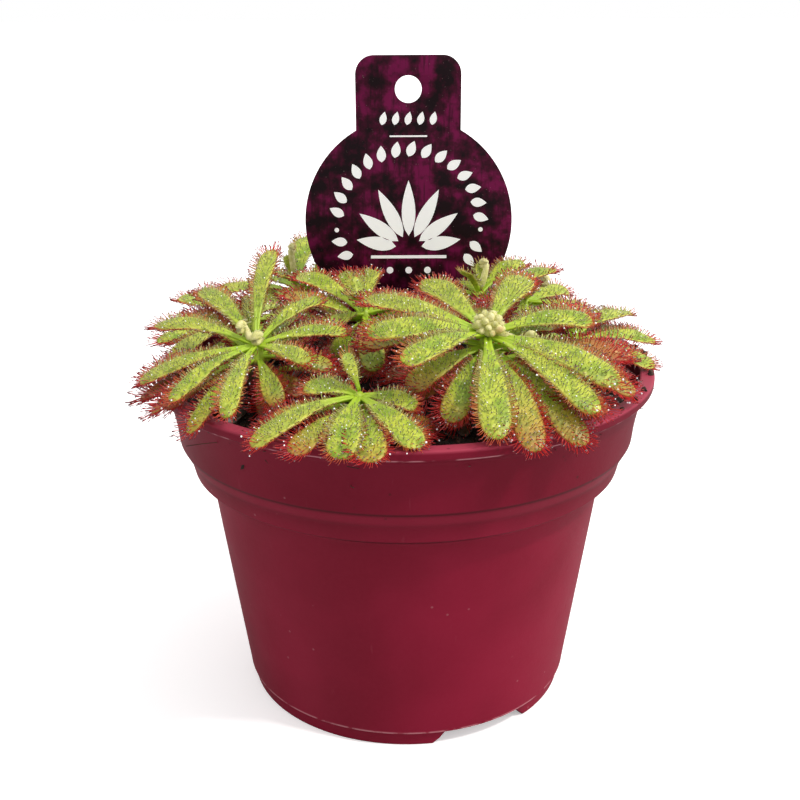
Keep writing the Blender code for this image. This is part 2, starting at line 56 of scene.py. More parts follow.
class Socket:
    """A node tree's socket: maths on it reads as an expression, and node() adds any other node."""

    def __init__(self, socket):
        self.socket = socket

    def node(self, kind, inputs=None, settings=None, output=0):
        """A new node with its settings, then its sockets' values or links, read at one of its outputs."""
        made = self.socket.id_data.nodes.new(kind)
        for name, setting in (settings or {}).items():
            if name == "stops":
                for _ in setting[2:]:
                    made.color_ramp.elements.new(0.5)
                for element, (place, colour) in zip(made.color_ramp.elements, setting):
                    element.position = place
                    element.color = (*colour, 1.0)
            else:
                setattr(made, name, setting)
        for name, value in (inputs or {}).items():
            feed(made.inputs[name], value)
        return Socket(made.outputs[output])

    def math(self, operation, a, b):
        return self.node("ShaderNodeMath", {0: a, 1: b}, {"operation": operation})

    def __add__(self, other):
        return self.math("ADD", self, other)

    def __sub__(self, other):
        return self.math("SUBTRACT", self, other)

    def __rsub__(self, other):
        return self.math("SUBTRACT", other, self)

    def __mul__(self, other):
        return self.math("MULTIPLY", self, other)

    def __gt__(self, other):
        return self.math("GREATER_THAN", self, other)

    def __lt__(self, other):
        return self.math("LESS_THAN", self, other)

    def __pow__(self, other):
        return self.math("POWER", self, other)

    __radd__ = __add__
    __rmul__ = __mul__

    def between(self, low, high):
        """An S-shaped rise from 0 at low to 1 at high."""
        inputs = {"Value": self, "From Min": low, "From Max": high}
        return self.node("ShaderNodeMapRange", inputs, {"interpolation_type": "SMOOTHSTEP"})

    def near(self, middle, half):
        """1 at a value and 0 from a half-width away from it."""
        return self.between(middle - half, middle) * (1 - self.between(middle, middle + half))

    def tints(self, *stops):
        """A colour ramp along this value, from (place, colour) stops."""
        return self.node("ShaderNodeValToRGB", {"Fac": self}, {"stops": stops})


def feed(socket, value):
    """A link into a socket, or its own value."""
    if isinstance(value, Socket):
        socket.id_data.links.new(value.socket, socket)
    else:
        socket.default_value = value


def over(share, under, upper):
    """One colour laid over another by a share."""
    inputs = {0: share}
    for index, colour in ((6, under), (7, upper)):
        inputs[index] = colour if isinstance(colour, Socket) else (*colour, 1.0)
    return share.node("ShaderNodeMix", inputs, {"data_type": "RGBA"}, 2)


def finish(name, paint):
    """A material whose sockets' values paint(place) gives, where place is the Object coordinates."""
    made = bpy.data.materials.new(name)
    made.use_nodes = True
    shader = made.node_tree.nodes["Principled BSDF"]
    start = Socket(made.node_tree.nodes.new("ShaderNodeTexCoord").outputs["Object"])
    for socket, value in paint(start).items():
        feed(shader.inputs[socket], value)
    return made


def placed(name, data):
    """A new object of the scene, at the origin."""
    made = bpy.data.objects.new(name, data)
    scene.collection.objects.link(made)
    return made


def lamp(name, toward, power, width, colour):
    """Light from far away in a direction, with its width in degrees."""
    light = bpy.data.lights.new(name, "SUN")
    light.angle = math.radians(width)
    light.energy = power
    light.color = colour
    placed(name, light).rotation_euler = Vector(toward).to_track_quat("Z", "Y").to_euler()


view = bpy.data.cameras.new("camera")
view.sensor_width = 36.0
view.lens = view.sensor_width * FOCAL_PIXELS / PHOTO_WIDTH
view.clip_start = 0.01
camera = placed("camera", view)
camera.location = EYE
look = (LOOKED_AT - EYE).to_track_quat("-Z", "Y")
camera.rotation_euler = (look.to_matrix() @ Matrix.Rotation(ROLL, 3, "Z")).to_euler()
scene.camera = camera

# The room is dimmer on the camera's side, and plain white where the camera itself sees it.
world = bpy.data.worlds.new("soft light")
world.use_nodes = True
backdrop = world.node_tree.nodes["Background"]
looked = Socket(world.node_tree.nodes.new("ShaderNodeTexCoord").outputs["Generated"])
toward_camera = looked.node("ShaderNodeSeparateXYZ", {0: looked}, output=1) * -1
seen = looked.node("ShaderNodeLightPath")
room = 1.0 - toward_camera.between(0.2, 0.95) * 0.45
feed(backdrop.inputs["Strength"], room * (1 - seen) + seen)
backdrop.inputs["Color"].default_value = WHITE
scene.world = world
lamp("key", (0.50, -0.30, 0.85), 1.5, 5.0, (1.0, 0.98, 0.95))
lamp("glow", (0.85, -0.10, 0.25), 1.0, 40.0, (1.0, 0.97, 0.97))


def pale_floor(place):
    """White to the camera, and a darker grey in the light that it throws back."""
    looked_at = place.node("ShaderNodeLightPath")
    return {
        "Base Color": over(looked_at, (0.45, 0.44, 0.44), (0.9, 0.9, 0.9)), "Roughness": 0.9,
        "Specular IOR Level": 0.0, "Emission Color": WHITE, "Emission Strength": looked_at * 0.4,
    }


half = FLOOR_SIZE / 2
floor_mesh = bpy.data.meshes.new("floor")
floor_corners = [(-half, -half, 0), (half, -half, 0), (half, half, 0), (-half, half, 0)]
floor_mesh.from_pydata(floor_corners, [], [(0, 1, 2, 3)])
floor_mesh.materials.append(finish("pale floor", pale_floor))
floor = placed("floor", floor_mesh)

# Pot: one thin burgundy moulding, with two stepped bands, a rolled lip and a foot ring that two gaps break.
# Its wall is turned from a profile with rounded corners, and the ring's lower edge is raised at the gaps. The
# mould leaves a pale uneven line at the foot and another under the lip, each with a painted highlight along
# it.
POT_STEPS = 168
WALL = 0.0013
BODY = ((0.0417, 0.0039), (0.0492, 0.0576))
LOWER_BAND = ((0.0531, 0.0597), (0.0540, 0.0636))
UPPER_BAND = ((0.0562, 0.0677), (0.0567, 0.0728), (0.0581, 0.0798))
LIP_RADIUS, LIP_BOTTOM, LIP_TOP = 0.0607, 0.0813, 0.0835
LIP_INSIDE = 0.0569
FOOT_RADIUS, FOOT_INSIDE = 0.0407, 0.0389
FLOOR_BOTTOM, FLOOR_TOP = 0.0038, 0.0052
FOOT_GAPS = (27, 207)
FOOT_GAP_HEIGHT = 0.0035
GAP_HALF, GAP_SLOPE = math.radians(18.5), math.radians(5.5)
DRAIN_COUNT, DRAIN_RADIUS, DRAIN_CIRCLE, DRAIN_CUT = 6, 0.0035, 0.0270, 0.0080
SEAM_RIDGE = 0.00012


def smooth(value, low, high):
    """0 below low, 1 above high and an S-shaped rise between."""
    share = min(1.0, max(0.0, (value - low) / (high - low)))
    return share * share * (3 - 2 * share)


def rounded(points, steps=3):
    """An open outline of (radius, height, rounding) corners with each corner drawn as a short curve."""
    flat = [Vector(point[:2]) for point in points]
    drawn = [flat[0]]
    for i in range(1, len(flat) - 1):
        corner, rounding = flat[i], points[i][2]
        before, after = flat[i - 1] - corner, flat[i + 1] - corner
        start = corner + before.normalized() * min(rounding, before.length * 0.48)
        end = corner + after.normalized() * min(rounding, after.length * 0.48)
        for step in range(steps + 1):
            t = step / steps
            drawn.append(start * (1 - t) ** 2 + corner * 2 * t * (1 - t) + end * t**2)
    drawn.append(flat[-1])
    return drawn


def object_of(name, mesh, material):
    """A smooth-shaded object of one material."""
    mesh.materials.clear()
    mesh.materials.append(material)
    mesh.shade_smooth()
    return placed(name, mesh)


def mesh_of(shape, name):
    """A new mesh from a bmesh, which is freed."""
    mesh = bpy.data.meshes.new(name)
    shape.to_mesh(mesh)
    shape.free()
    return mesh


def faced_out(mesh):
    """The mesh with its faces turned outwards."""
    shape = bmesh.new()
    shape.from_mesh(mesh)
    bmesh.ops.recalc_face_normals(shape, faces=shape.faces)
    shape.to_mesh(mesh)
    shape.free()
    return mesh


def lathe(name, outline, steps, lift=None):
    """A mesh turned from an outline of (radius, height) that starts and ends on the axis."""
    rings = outline[1:-1]
    points = [(0.0, 0.0, outline[0][1]), (0.0, 0.0, outline[-1][1])]
    for radius, height in rings:
        for step in range(steps):
            turn = 2 * math.pi * step / steps
            x, y = radius * math.cos(turn), radius * math.sin(turn)
            points.append((x, y, lift(x, y, height) if lift else height))
    faces = []
    for step in range(steps):
        after = (step + 1) % steps
        faces.append((0, 2 + after, 2 + step))
        last = 2 + (len(rings) - 1) * steps
        faces.append((1, last + step, last + after))
        for ring in range(len(rings) - 1):
            low = 2 + ring * steps
            faces.append((low + step, low + after, low + steps + after, low + steps + step))
    mesh = bpy.data.meshes.new(name)
    mesh.from_pydata(points, [], faces)
    return faced_out(mesh)


def foot_lift(x, y, height):
    """The foot ring's lower edge, raised where a gap breaks it."""
    if height > FOOT_GAP_HEIGHT - 0.0002 or math.hypot(x, y) < FOOT_INSIDE - 0.0005:
        return height
    turn = math.atan2(x, -y)
    raised = 0.0
    for gap in FOOT_GAPS:
        away = abs((turn - math.radians(gap) + math.pi) % (2 * math.pi) - math.pi)
        raised = max(raised, 1 - smooth(away, GAP_HALF - GAP_SLOPE, GAP_HALF))
    return height + (FOOT_GAP_HEIGHT - height) * raised


def evaluated(obj):
    """A plain mesh of the object with its modifiers made real."""
    graph = bpy.context.evaluated_depsgraph_get()
    return bpy.data.meshes.new_from_object(obj.evaluated_get(graph))


def grain(place, scale, detail=3.0, roughness=0.55, stretch=(1.0, 1.0, 1.0)):
    """Noise of a scale per metre, drawn out along an axis where its stretch is small."""
    spread = place.node("ShaderNodeVectorMath", {0: place, 1: stretch}, {"operation": "MULTIPLY"})
    inputs = {"Vector": spread, "Scale": scale, "Detail": detail, "Roughness": roughness}
    return place.node("ShaderNodeTexNoise", inputs)


def bumps(height, strength, distance):
    """A normal that follows a height."""
    return height.node("ShaderNodeBump", {"Height": height, "Strength": strength, "Distance": distance})


def height_of(place):
    """The Z of Object coordinates."""
    return place.node("ShaderNodeSeparateXYZ", {0: place}, output=2)


def layered(colour, *layers):
    """A colour with (share, colour) layers laid over it in turn."""
    for share, upper in layers:
        colour = over(share, colour, upper)
    return colour


def dots(place, scale, outside, inside):
    """Scattered round dots: 0 from one distance off a dot's middle, and 1 within another."""
    return place.node("ShaderNodeTexVoronoi", {"Vector": place, "Scale": scale}).between(outside, inside)


def burgundy(place):
    """Moulded plastic: soft mottling, pale nicks, dark specks of peat, the mould's pale lines with painted
    highlight, and painted shade and light on the steps and the lip.
    """
    up = height_of(place)
    body_top, band_foot, band_top, ledge = BODY[1][1], LOWER_BAND[0][1], LOWER_BAND[1][1], UPPER_BAND[0][1]
    # Painted shade: the bands and the lip above them are painted darker.
    painted_band_shade = up.between(band_foot - 0.0007, band_top + 0.0009)
    # Painted light: the slope from the lower band's top up to the upper band's ledge is painted lighter.
    slope_end = 1 - up.between(ledge - 0.0015, ledge - 0.0007)
    slope = up.between(band_top + 0.0002, band_top + 0.0014) * slope_end
    # Painted shade: dark lines just under the upper band's ledge and under the lower band's edge.
    step_end = 1 - up.between(band_foot - 0.0003, band_foot + 0.0003)
    steps = up.near(ledge - 0.0004, 0.0005) + up.between(body_top - 0.0002, body_top + 0.0004) * step_end
    # Painted highlight: the top of the lip is painted lighter.
    lip = up.between(LIP_TOP - 0.0009, LIP_TOP - 0.0002)
    # The pale uneven lines at the foot and under the lip are the mould's flash, with a painted highlight
    # along it.
    seam_flash_and_highlight = up.near(BODY[0][1] + 0.0001, 0.00045) * grain(place, 260.0).between(0.38, 0.55)
    lip_flash_and_highlight = up.near(LIP_BOTTOM - 0.0001, 0.0004) * grain(place, 180.0).between(0.45, 0.60)
    scratch = grain(place, 520.0, 2.0, 0.5, (1.0, 1.0, 0.10)).between(0.70, 0.76)
    nick = dots(place, 260.0, 0.090, 0.065) * grain(place, 40.0).between(0.55, 0.62)
    speck = dots(place, 330.0, 0.14, 0.10) * grain(place, 60.0).between(0.54, 0.62)
    colour = layered(
        over(grain(place, 22.0).between(0.35, 0.68), (0.208, 0.0040, 0.0215), (0.276, 0.0076, 0.0335)),
        (grain(place, 900.0, 2.0) * 0.14, (0.40, 0.030, 0.070)),
        (painted_band_shade * 0.34, (0.080, 0.0012, 0.007)),
        (slope * 0.28, (0.44, 0.018, 0.060)),
        (steps * 0.70, (0.045, 0.001, 0.004)),
        (lip * 0.60, (0.48, 0.060, 0.105)),
        (seam_flash_and_highlight * 0.55 + lip_flash_and_highlight * 0.80, (0.74, 0.34, 0.38)),
        (scratch * 0.07, (0.50, 0.16, 0.20)),
        (nick * 0.35, (0.50, 0.20, 0.23)),
        (speck * up.between(0.052, 0.082) * 0.85, (0.020, 0.010, 0.008)),
    )
    relief = grain(place, 1500.0, 2.0) * 0.4 + grain(place, 240.0, 2.0) * 0.6 - scratch * 0.2
    return {
        "Base Color": colour, "Roughness": 0.40 + grain(place, 70.0) * 0.16 + scratch * 0.15,
        "Normal": bumps(relief, 0.16, 0.0003), "Specular IOR Level": 0.14,
    }


pot_corners = [
    (0.0, FLOOR_TOP, 0.0),
    (BODY[0][0] - WALL, FLOOR_TOP, 0.0012),
    (BODY[1][0] - WALL, BODY[1][1] + WALL, 0.0008),
    (LOWER_BAND[0][0] - WALL, LOWER_BAND[0][1] + WALL, 0.0008),
    (LOWER_BAND[1][0] - WALL, LOWER_BAND[1][1] + WALL, 0.0008),
    (UPPER_BAND[0][0] - WALL, UPPER_BAND[0][1] + WALL, 0.0008),
    (LIP_INSIDE, UPPER_BAND[2][1], 0.0010),
    (LIP_INSIDE + 0.0003, LIP_TOP, 0.0006),
    (LIP_RADIUS, LIP_TOP, 0.0006),
    (LIP_RADIUS - 0.0001, LIP_BOTTOM, 0.0004),
    (UPPER_BAND[2][0] + 0.0002, UPPER_BAND[2][1] + 0.0002, 0.0008),
    (UPPER_BAND[1][0], UPPER_BAND[1][1], 0.0030),
    (UPPER_BAND[0][0], UPPER_BAND[0][1], 0.0003),
    (LOWER_BAND[1][0], LOWER_BAND[1][1], 0.0007),
    (LOWER_BAND[0][0], LOWER_BAND[0][1], 0.0003),
    (BODY[1][0], BODY[1][1], 0.0008),
    (BODY[0][0] + SEAM_RIDGE, BODY[0][1] + 0.0003, 0.0003),
    (BODY[0][0] + SEAM_RIDGE, BODY[0][1] - 0.0001, 0.0002),
    (FOOT_RADIUS + 0.0002, FOOT_GAP_HEIGHT - 0.0001, 0.0003),
    (FOOT_RADIUS, 0.0, 0.0004),
    (FOOT_INSIDE, 0.0, 0.0004),
    (FOOT_INSIDE, FLOOR_BOTTOM, 0.0002),
    (0.0, FLOOR_BOTTOM, 0.0),
]
pot_mesh = lathe("pot_shell", rounded(pot_corners), POT_STEPS, foot_lift)
pot = object_of("pot_shell", pot_mesh, finish("burgundy", burgundy))
drains = bmesh.new()
for index in range(DRAIN_COUNT):
    turn = 2 * math.pi * (index + 0.5) / DRAIN_COUNT
    spot = Matrix.Translation((DRAIN_CIRCLE * math.cos(turn), DRAIN_CIRCLE * math.sin(turn), FLOOR_BOTTOM))
    sizes = dict(radius1=DRAIN_RADIUS, radius2=DRAIN_RADIUS, depth=DRAIN_CUT, matrix=spot)
    bmesh.ops.create_cone(drains, cap_ends=True, segments=28, **sizes)
drain_cutter = placed("drains", mesh_of(drains, "drains"))
pot.modifiers.new("drains", "BOOLEAN").object = drain_cutter
pot_mesh = evaluated(pot)
pot.modifiers.clear()
pot.data = pot_mesh
bpy.data.objects.remove(drain_cutter)
pot.data.set_sharp_from_angle(angle=math.radians(50))
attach(pot, "root")
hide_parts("pot")

# Peat: moist dark fibrous peat heaped to just under the lip, with crumbs, a few pale grains and loose root
# fibres on it. The filling is turned like the pot's inside, and its top is raised by noise.
PEAT_EDGE, PEAT_HEAP, PEAT_BUMP, PEAT_GRAIN = 0.0780, 0.0050, 0.0006, 0.0006
PEAT_CLUMP, PEAT_CLUMP_RISE, PEAT_CLUMP_RADIUS = (0.0490, -0.0020), 0.0065, 0.0075
PEAT_GAP = 0.00035
PEAT_RINGS, PEAT_STEPS = 44, 132
CRUMB_ROUGHNESS, CRUMB_FLATNESS, CRUMB_DENSITY, CRUMB_SIZE = 0.9, 0.7, 150000.0, 0.0016
LIP_CRUMB_INSET, LIP_CRUMB_SUNK = 0.0012, 0.25
FIBRE_DENSITY, FIBRE_LENGTH, FIBRE_RADIUS, FIBRE_POINTS = 48000.0, 0.0042, 0.00010, 7
VECTOR = "FLOAT_VECTOR"


def peat_height(x, y):
    """Height of the peat's surface."""
    heap = PEAT_HEAP * max(0.0, 1 - (x * x + y * y) / UPPER_BAND[0][0] ** 2)
    waves = math.sin(410 * x + 1.3) * math.cos(370 * y - 0.4) + 0.6 * math.sin(790 * x - 530 * y)
    away = math.hypot(x - PEAT_CLUMP[0], y - PEAT_CLUMP[1]) / PEAT_CLUMP_RADIUS
    return PEAT_EDGE + heap + PEAT_BUMP * waves + PEAT_CLUMP_RISE * math.exp(-away * away)


def peat_lift(x, y, height):
    """The same surface with its crumbly grain, on the top alone."""
    if height < PEAT_EDGE - 0.0005:
        return height
    return peat_height(x, y) + PEAT_GRAIN * noise.fractal(Vector((x, y, 0.0)) * 260, 0.9, 2.1, 4)


def peat_colours(place):
    """Dark moist brown, redder and paler in its fibres."""
    long = grain(place, 700.0, 4.0, 0.6, (1.0, 0.25, 0.6))
    spots = grain(place, 1400.0)
    dark, brown, pale = (0.006, 0.0035, 0.0025), (0.026, 0.014, 0.009), (0.060, 0.034, 0.022)
    colour = layered(
        grain(place, 300.0, 4.0).tints((0.25, dark), (0.55, brown), (0.8, pale)),
        (long.between(0.56, 0.66) * 0.7, (0.120, 0.060, 0.040)),
        (spots.between(0.70, 0.74), (0.30, 0.24, 0.18)),
    )
    return {"Base Color": colour, "Roughness": 0.92, "Normal": bumps(long + spots, 0.6, 0.0006)}


def geometry_tree(name, **kinds):
    """A new Geometry Nodes tree with named inputs, and the sockets that they give."""
    tree = bpy.data.node_groups.new(name, "GeometryNodeTree")
    tree.interface.new_socket("Geometry", in_out="INPUT", socket_type="NodeSocketGeometry")
    for label, kind in kinds.items():
        tree.interface.new_socket(label.replace("_", " "), in_out="INPUT", socket_type="NodeSocket" + kind)
    tree.interface.new_socket("Geometry", in_out="OUTPUT", socket_type="NodeSocketGeometry")
    start = tree.nodes.new("NodeGroupInput")
    return tree, {socket.name: Socket(socket) for socket in start.outputs if socket.name}


def close_tree(tree, geometry):
    """Ends a tree: its instances are made real, shaded smooth and given their material."""
    real = geometry.node("GeometryNodeRealizeInstances", {0: geometry})
    soft = real.node("GeometryNodeSetShadeSmooth", {0: real})
    start = Socket(next(x for x in tree.nodes if x.type == "GROUP_INPUT").outputs["Material"])
    dressed = soft.node("GeometryNodeSetMaterial", {0: soft, "Material": start})
    end = tree.nodes.new("NodeGroupOutput")
    feed(end.inputs[0], dressed)


def grown(name, base, tree, **values):
    """The plain mesh object that a tree grows on a base object."""
    change = base.modifiers.new("grow", "NODES")
    change.node_group = tree
    for item in tree.interface.items_tree:
        label = item.name.replace(" ", "_")
        if item.in_out == "INPUT" and label in values:
            change[item.identifier] = values[label]
    mesh = evaluated(base)
    mesh.name = name
    base.modifiers.remove(change)
    return placed(name, mesh)


def random_in(start, low, high, seed, kind="FLOAT"):
    """A random number or vector for each point."""
    low_input, high_input, output = {"FLOAT": (2, 3, 1), VECTOR: (0, 1, 0)}[kind]
    inputs = {low_input: low, high_input: high, "Seed": seed}
    return start.node("FunctionNodeRandomValue", inputs, {"data_type": kind}, output)


def kept(geometry, name, value, kind="FLOAT"):
    """The geometry with a value kept on its points under a name."""
    inputs = {0: geometry, "Name": name, "Value": value}
    return geometry.node("GeometryNodeStoreNamedAttribute", inputs, {"data_type": kind})


def named(start, name, kind="FLOAT"):
    """A value kept on the geometry under a name."""
    return start.node("GeometryNodeInputNamedAttribute", {"Name": name}, {"data_type": kind})


def scattered(given):
    """Points spread over the faces that look up."""
    base = given["Geometry"]
    facing = base.node("GeometryNodeInputNormal")
    upward = facing.node("ShaderNodeSeparateXYZ", {0: facing}, output=2) > 0.5
    spread = {"Mesh": base, "Selection": upward, "Density": given["Count"], "Seed": given["Seed"]}
    return base.node("GeometryNodeDistributePointsOnFaces", spread)


inside = [(radius - WALL - PEAT_GAP, height + WALL) for radius, height in (*BODY, *LOWER_BAND, UPPER_BAND[0])]
inside[0] = (inside[0][0], FLOOR_TOP + PEAT_GAP)
peat_edge = LIP_INSIDE - PEAT_GAP
heaped = [(peat_edge * (1 - ring / PEAT_RINGS), PEAT_EDGE) for ring in range(PEAT_RINGS)]
peat_outline = [(0.0, FLOOR_TOP + PEAT_GAP), *inside, *heaped, (0.0, PEAT_EDGE)]
peat_finish = finish("peat", peat_colours)
peat = object_of("peat_filling", lathe("peat_filling", peat_outline, PEAT_STEPS, peat_lift), peat_finish)
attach(peat, "root")
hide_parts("peat")

# One small irregular crumb, and the tree that repeats it at many sizes.
crumb = bmesh.new()
bmesh.ops.create_icosphere(crumb, subdivisions=1, radius=1.0)
for vert in crumb.verts:
    vert.co *= 1 + CRUMB_ROUGHNESS * noise.noise(vert.co * 1.7 + Vector((3, 0, 0)))
    vert.co.z *= CRUMB_FLATNESS
crumb_lump = placed("crumb_shape", mesh_of(crumb, "crumb_shape"))
crumb_inputs = dict(Lump="Object", Count="Float", Size="Float", Seed="Int", Material="Material")
crumb_tree, given = geometry_tree("crumbs", **crumb_inputs)
points = scattered(given)
lump_shape = points.node("GeometryNodeObjectInfo", {0: given["Lump"]}, output=4)
crumb_size = random_in(points, 0.0, 1.0, 3) ** 3.0 * 0.85 + 0.15
turned = random_in(points, (0, 0, 0), (6.3, 6.3, 6.3), 5, VECTOR)
turned = points.node("FunctionNodeEulerToRotation", {0: turned})
laid = {"Points": points, "Instance": lump_shape, "Rotation": turned, "Scale": crumb_size * given["Size"]}
close_tree(crumb_tree, points.node("GeometryNodeInstanceOnPoints", laid))
crumb_values = dict(Lump=crumb_lump, Count=CRUMB_DENSITY, Size=CRUMB_SIZE, Seed=4, Material=peat_finish)
litter = grown("peat_crumbs", peat, crumb_tree, **crumb_values)
bpy.data.objects.remove(crumb_lump)
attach(litter, "root")

# A few crumbs lie on the lip as well, given as (degrees from +X, size).
LIP_CRUMBS = (
    (-56, 0.0010), (-53, 0.0005), (-38, 0.0005), (-31, 0.0007), (-24, 0.0006), (-12, 0.0008), (-3, 0.0011),
    (3, 0.0013), (9, 0.0009), (40, 0.0006), (97, 0.0008), (150, 0.0006), (188, 0.0008), (-141, 0.0006),
    (-100, 0.0004),
)
loose = bmesh.new()
for turn, size in LIP_CRUMBS:
    out = Vector((math.cos(math.radians(turn)), math.sin(math.radians(turn)), 0.0))
    out *= LIP_RADIUS - LIP_CRUMB_INSET
    spot = Matrix.Translation(out + Vector((0.0, 0.0, LIP_TOP + size * LIP_CRUMB_SUNK)))
    made = bmesh.ops.create_icosphere(loose, subdivisions=2, radius=size, matrix=spot)
    for vert in made["verts"]:
        vert.co += (vert.co - spot.translation) * noise.noise(vert.co * 1400) * CRUMB_ROUGHNESS
lip_crumbs = object_of("lip_crumbs", mesh_of(loose, "lip_crumbs"), peat_finish)
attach(lip_crumbs, "root")


def fibre_colours(place):
    """Dark root fibres, some of them paler."""
    colour = grain(place, 90.0).tints((0.35, (0.018, 0.009, 0.006)), (0.65, (0.105, 0.050, 0.028)))
    return {"Base Color": colour, "Roughness": 0.8}


def times(vector, factor):
    """A vector made longer or shorter."""
    return vector.node("ShaderNodeVectorMath", {0: vector, "Scale": factor}, {"operation": "SCALE"})


def plus(first, second):
    """The sum of two vectors."""
    return first.node("ShaderNodeVectorMath", {0: first, 1: second}, {"operation": "ADD"})


def bent(points, straight, sideways):
    """The place that is so far from each point's root along its aim and its curl."""
    reach = times(named(points, "aim", VECTOR), straight)
    sway = times(named(points, "curl", VECTOR), sideways)
    return plus(named(points, "root", VECTOR), plus(reach, sway))


def thin_tubes(lines, radius):
    """Closed three-sided tubes along curves."""
    ring = lines.node("GeometryNodeCurvePrimitiveCircle", {0: 3, 4: 1.0})
    inputs = {0: lines, "Profile Curve": ring, "Scale": radius, "Fill Caps": True}
    return lines.node("GeometryNodeCurveToMesh", inputs)


fibre_inputs = dict(Count="Float", Length="Float", Thickness="Float", Seed="Int", Material="Material")
fibre_tree, given = geometry_tree("fibres", **fibre_inputs)
points = scattered(given)
points = kept(points, "root", points.node("GeometryNodeInputPosition"), VECTOR)
points = kept(points, "aim", random_in(points, (-1, -1, -0.15), (1, 1, 0.35), 2, VECTOR), VECTOR)
points = kept(points, "curl", random_in(points, (-1, -1, -0.1), (1, 1, 0.4), 9, VECTOR), VECTOR)
line = points.node("GeometryNodeCurvePrimitiveLine", {"Start": (0, 0, 0), "End": (0, 0, 1)})
line = line.node("GeometryNodeResampleCurve", {0: line, "Count": FIBRE_POINTS})
lines = points.node("GeometryNodeInstanceOnPoints", {"Points": points, "Instance": line})
lines = lines.node("GeometryNodeRealizeInstances", {0: lines})
along = lines.node("GeometryNodeSplineParameter")
lie = bent(lines, along * given["Length"], along * along * given["Length"])
lines = lines.node("GeometryNodeSetPosition", {0: lines, "Position": lie})
close_tree(fibre_tree, thin_tubes(lines, given["Thickness"]))
fibre_finish = finish("root fibre", fibre_colours)
fibre_values = dict(
    Count=FIBRE_DENSITY, Length=FIBRE_LENGTH, Thickness=FIBRE_RADIUS, Seed=8, Material=fibre_finish
)
fibres = grown("peat_fibres", peat, fibre_tree, **fibre_values)
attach(fibres, "root")

# Label: a round plastic plate with a neck and a hanging hole, die cut from printed sheet. Its stake goes down
# into the peat. The sheet is mottled plum, with a plain white print of leaves, dots and rules on its face.
LABEL_PLACE = Vector((0.0011, 0.0270, 0.0))
LABEL_THICKNESS = 0.0006
LABEL_BEVEL = 0.00008
DISC_RADIUS, DISC_HEIGHT = 0.0271, 0.1132
NECK_HALF, LABEL_TOP, LABEL_CORNER = 0.0134, 0.1552, 0.0047
HANG_HOLE_RADIUS, HANG_HOLE_HEIGHT = 0.0034, 0.1469
STAKE_HALF, STAKE_POINT, STAKE_TIP = 0.0060, 0.0120, 0.0520
PRINT_THICKNESS = 0.00002
NECK_RULE, FAN_RULE = ((0.0, 0.1353), 0.0096, 0.0004), ((0.0, DISC_HEIGHT - 0.0092), 0.0200, 0.0008)
NECK_LEAVES, NECK_LEAF_HEIGHT = (-0.0068, -0.0036, -0.0004, 0.0028, 0.0060), 0.1381
NECK_LEAF, RING_LEAF = (76, 0.0034, 0.0009), (0.0042, 0.0012)
RING_LEAF_RADIUS, RING_LEAF_TILT, RING_DOT_RADIUS, RING_DOTS = 0.0170, 22, 0.0190, (-6, 186)
FAN_HEIGHT, FAN_START, FAN_LEAF_HALF = DISC_HEIGHT - 0.0070, 0.0034, 0.0018
FAN = ((90, 0.0145), (63, 0.0140), (117, 0.0140), (36, 0.0125), (144, 0.0125), (10, 0.0105), (170, 0.0105))
BOTTOM_DOTS, BOTTOM_DOT_HEIGHT = (-0.0050, 0.0, 0.0050), DISC_HEIGHT - 0.0128
SMALL_DOT, LARGE_DOT = 0.0006, 0.0009


def arc(centre, radius, start, end, steps):
    """Points along a circle, with its angles in degrees."""
    turns = [math.radians(start + (end - start) * step / steps) for step in range(steps + 1)]
    return [(centre[0] + radius * math.cos(turn), centre[1] + radius * math.sin(turn)) for turn in turns]


def sheet_mesh(name, outlines, thickness, bevel, front):
    """A flat piece cut to its outlines, in the label's plane, with its middle at a distance along Y."""
    curve = bpy.data.curves.new(name, "CURVE")
    curve.dimensions = "2D"
    curve.fill_mode = "BOTH"
    curve.extrude = thickness / 2 - bevel
    curve.bevel_depth = bevel
    curve.bevel_resolution = 1
    curve.offset = -bevel
    for outline in outlines:
        spline = curve.splines.new("POLY")
        spline.points.add(len(outline) - 1)
        for point, (x, z) in zip(spline.points, outline):
            point.co = (x, z, 0.0, 1.0)
        spline.use_cyclic_u = True
    flat = placed(name, curve)
    mesh = evaluated(flat)
    upright = Matrix.Rotation(math.pi / 2, 4, "X")
    mesh.transform(Matrix.Translation(LABEL_PLACE + Vector((0, front, 0))) @ upright)
    bpy.data.objects.remove(flat)
    shape = bmesh.new()
    shape.from_mesh(mesh)
    bmesh.ops.remove_doubles(shape, verts=shape.verts, dist=0.000002)
    shape.to_mesh(mesh)
    shape.free()
    return mesh


def plum(place):
    """Printed sheet: near black, blotched with plum and streaked upwards."""
    blotch = grain(place, 210.0, 3.0, 0.6)
    streak = grain(place, 900.0, 3.0, 0.5, (1.0, 1.0, 0.10))
    dust = grain(place, 2600.0, 1.0)
    near_black, plum_ink = (0.0085, 0.0018, 0.0042), (0.150, 0.0034, 0.052)
    colour = layered(
        blotch.tints((0.38, near_black), (0.50, (0.048, 0.0016, 0.0150)), (0.64, plum_ink)),
        (streak.between(0.50, 0.66) * 0.55, (0.008, 0.0016, 0.0036)),
        (dust.between(0.77, 0.80) * 0.5, (0.35, 0.28, 0.26)),
    )
    return {"Base Color": colour, "Roughness": 0.42, "Specular IOR Level": 0.15}


def print_white(place):
    """White ink, a little worn, glowing faintly with painted light."""
    worn = grain(place, 1500.0, 2.0).between(0.55, 0.8)
    return {
        "Base Color": over(worn * 0.2, (0.95, 0.96, 0.96), (0.70, 0.60, 0.65)), "Roughness": 0.45,
        # Painted light: the ink glows faintly.
        "Emission Color": WHITE, "Emission Strength": 0.15,
    }


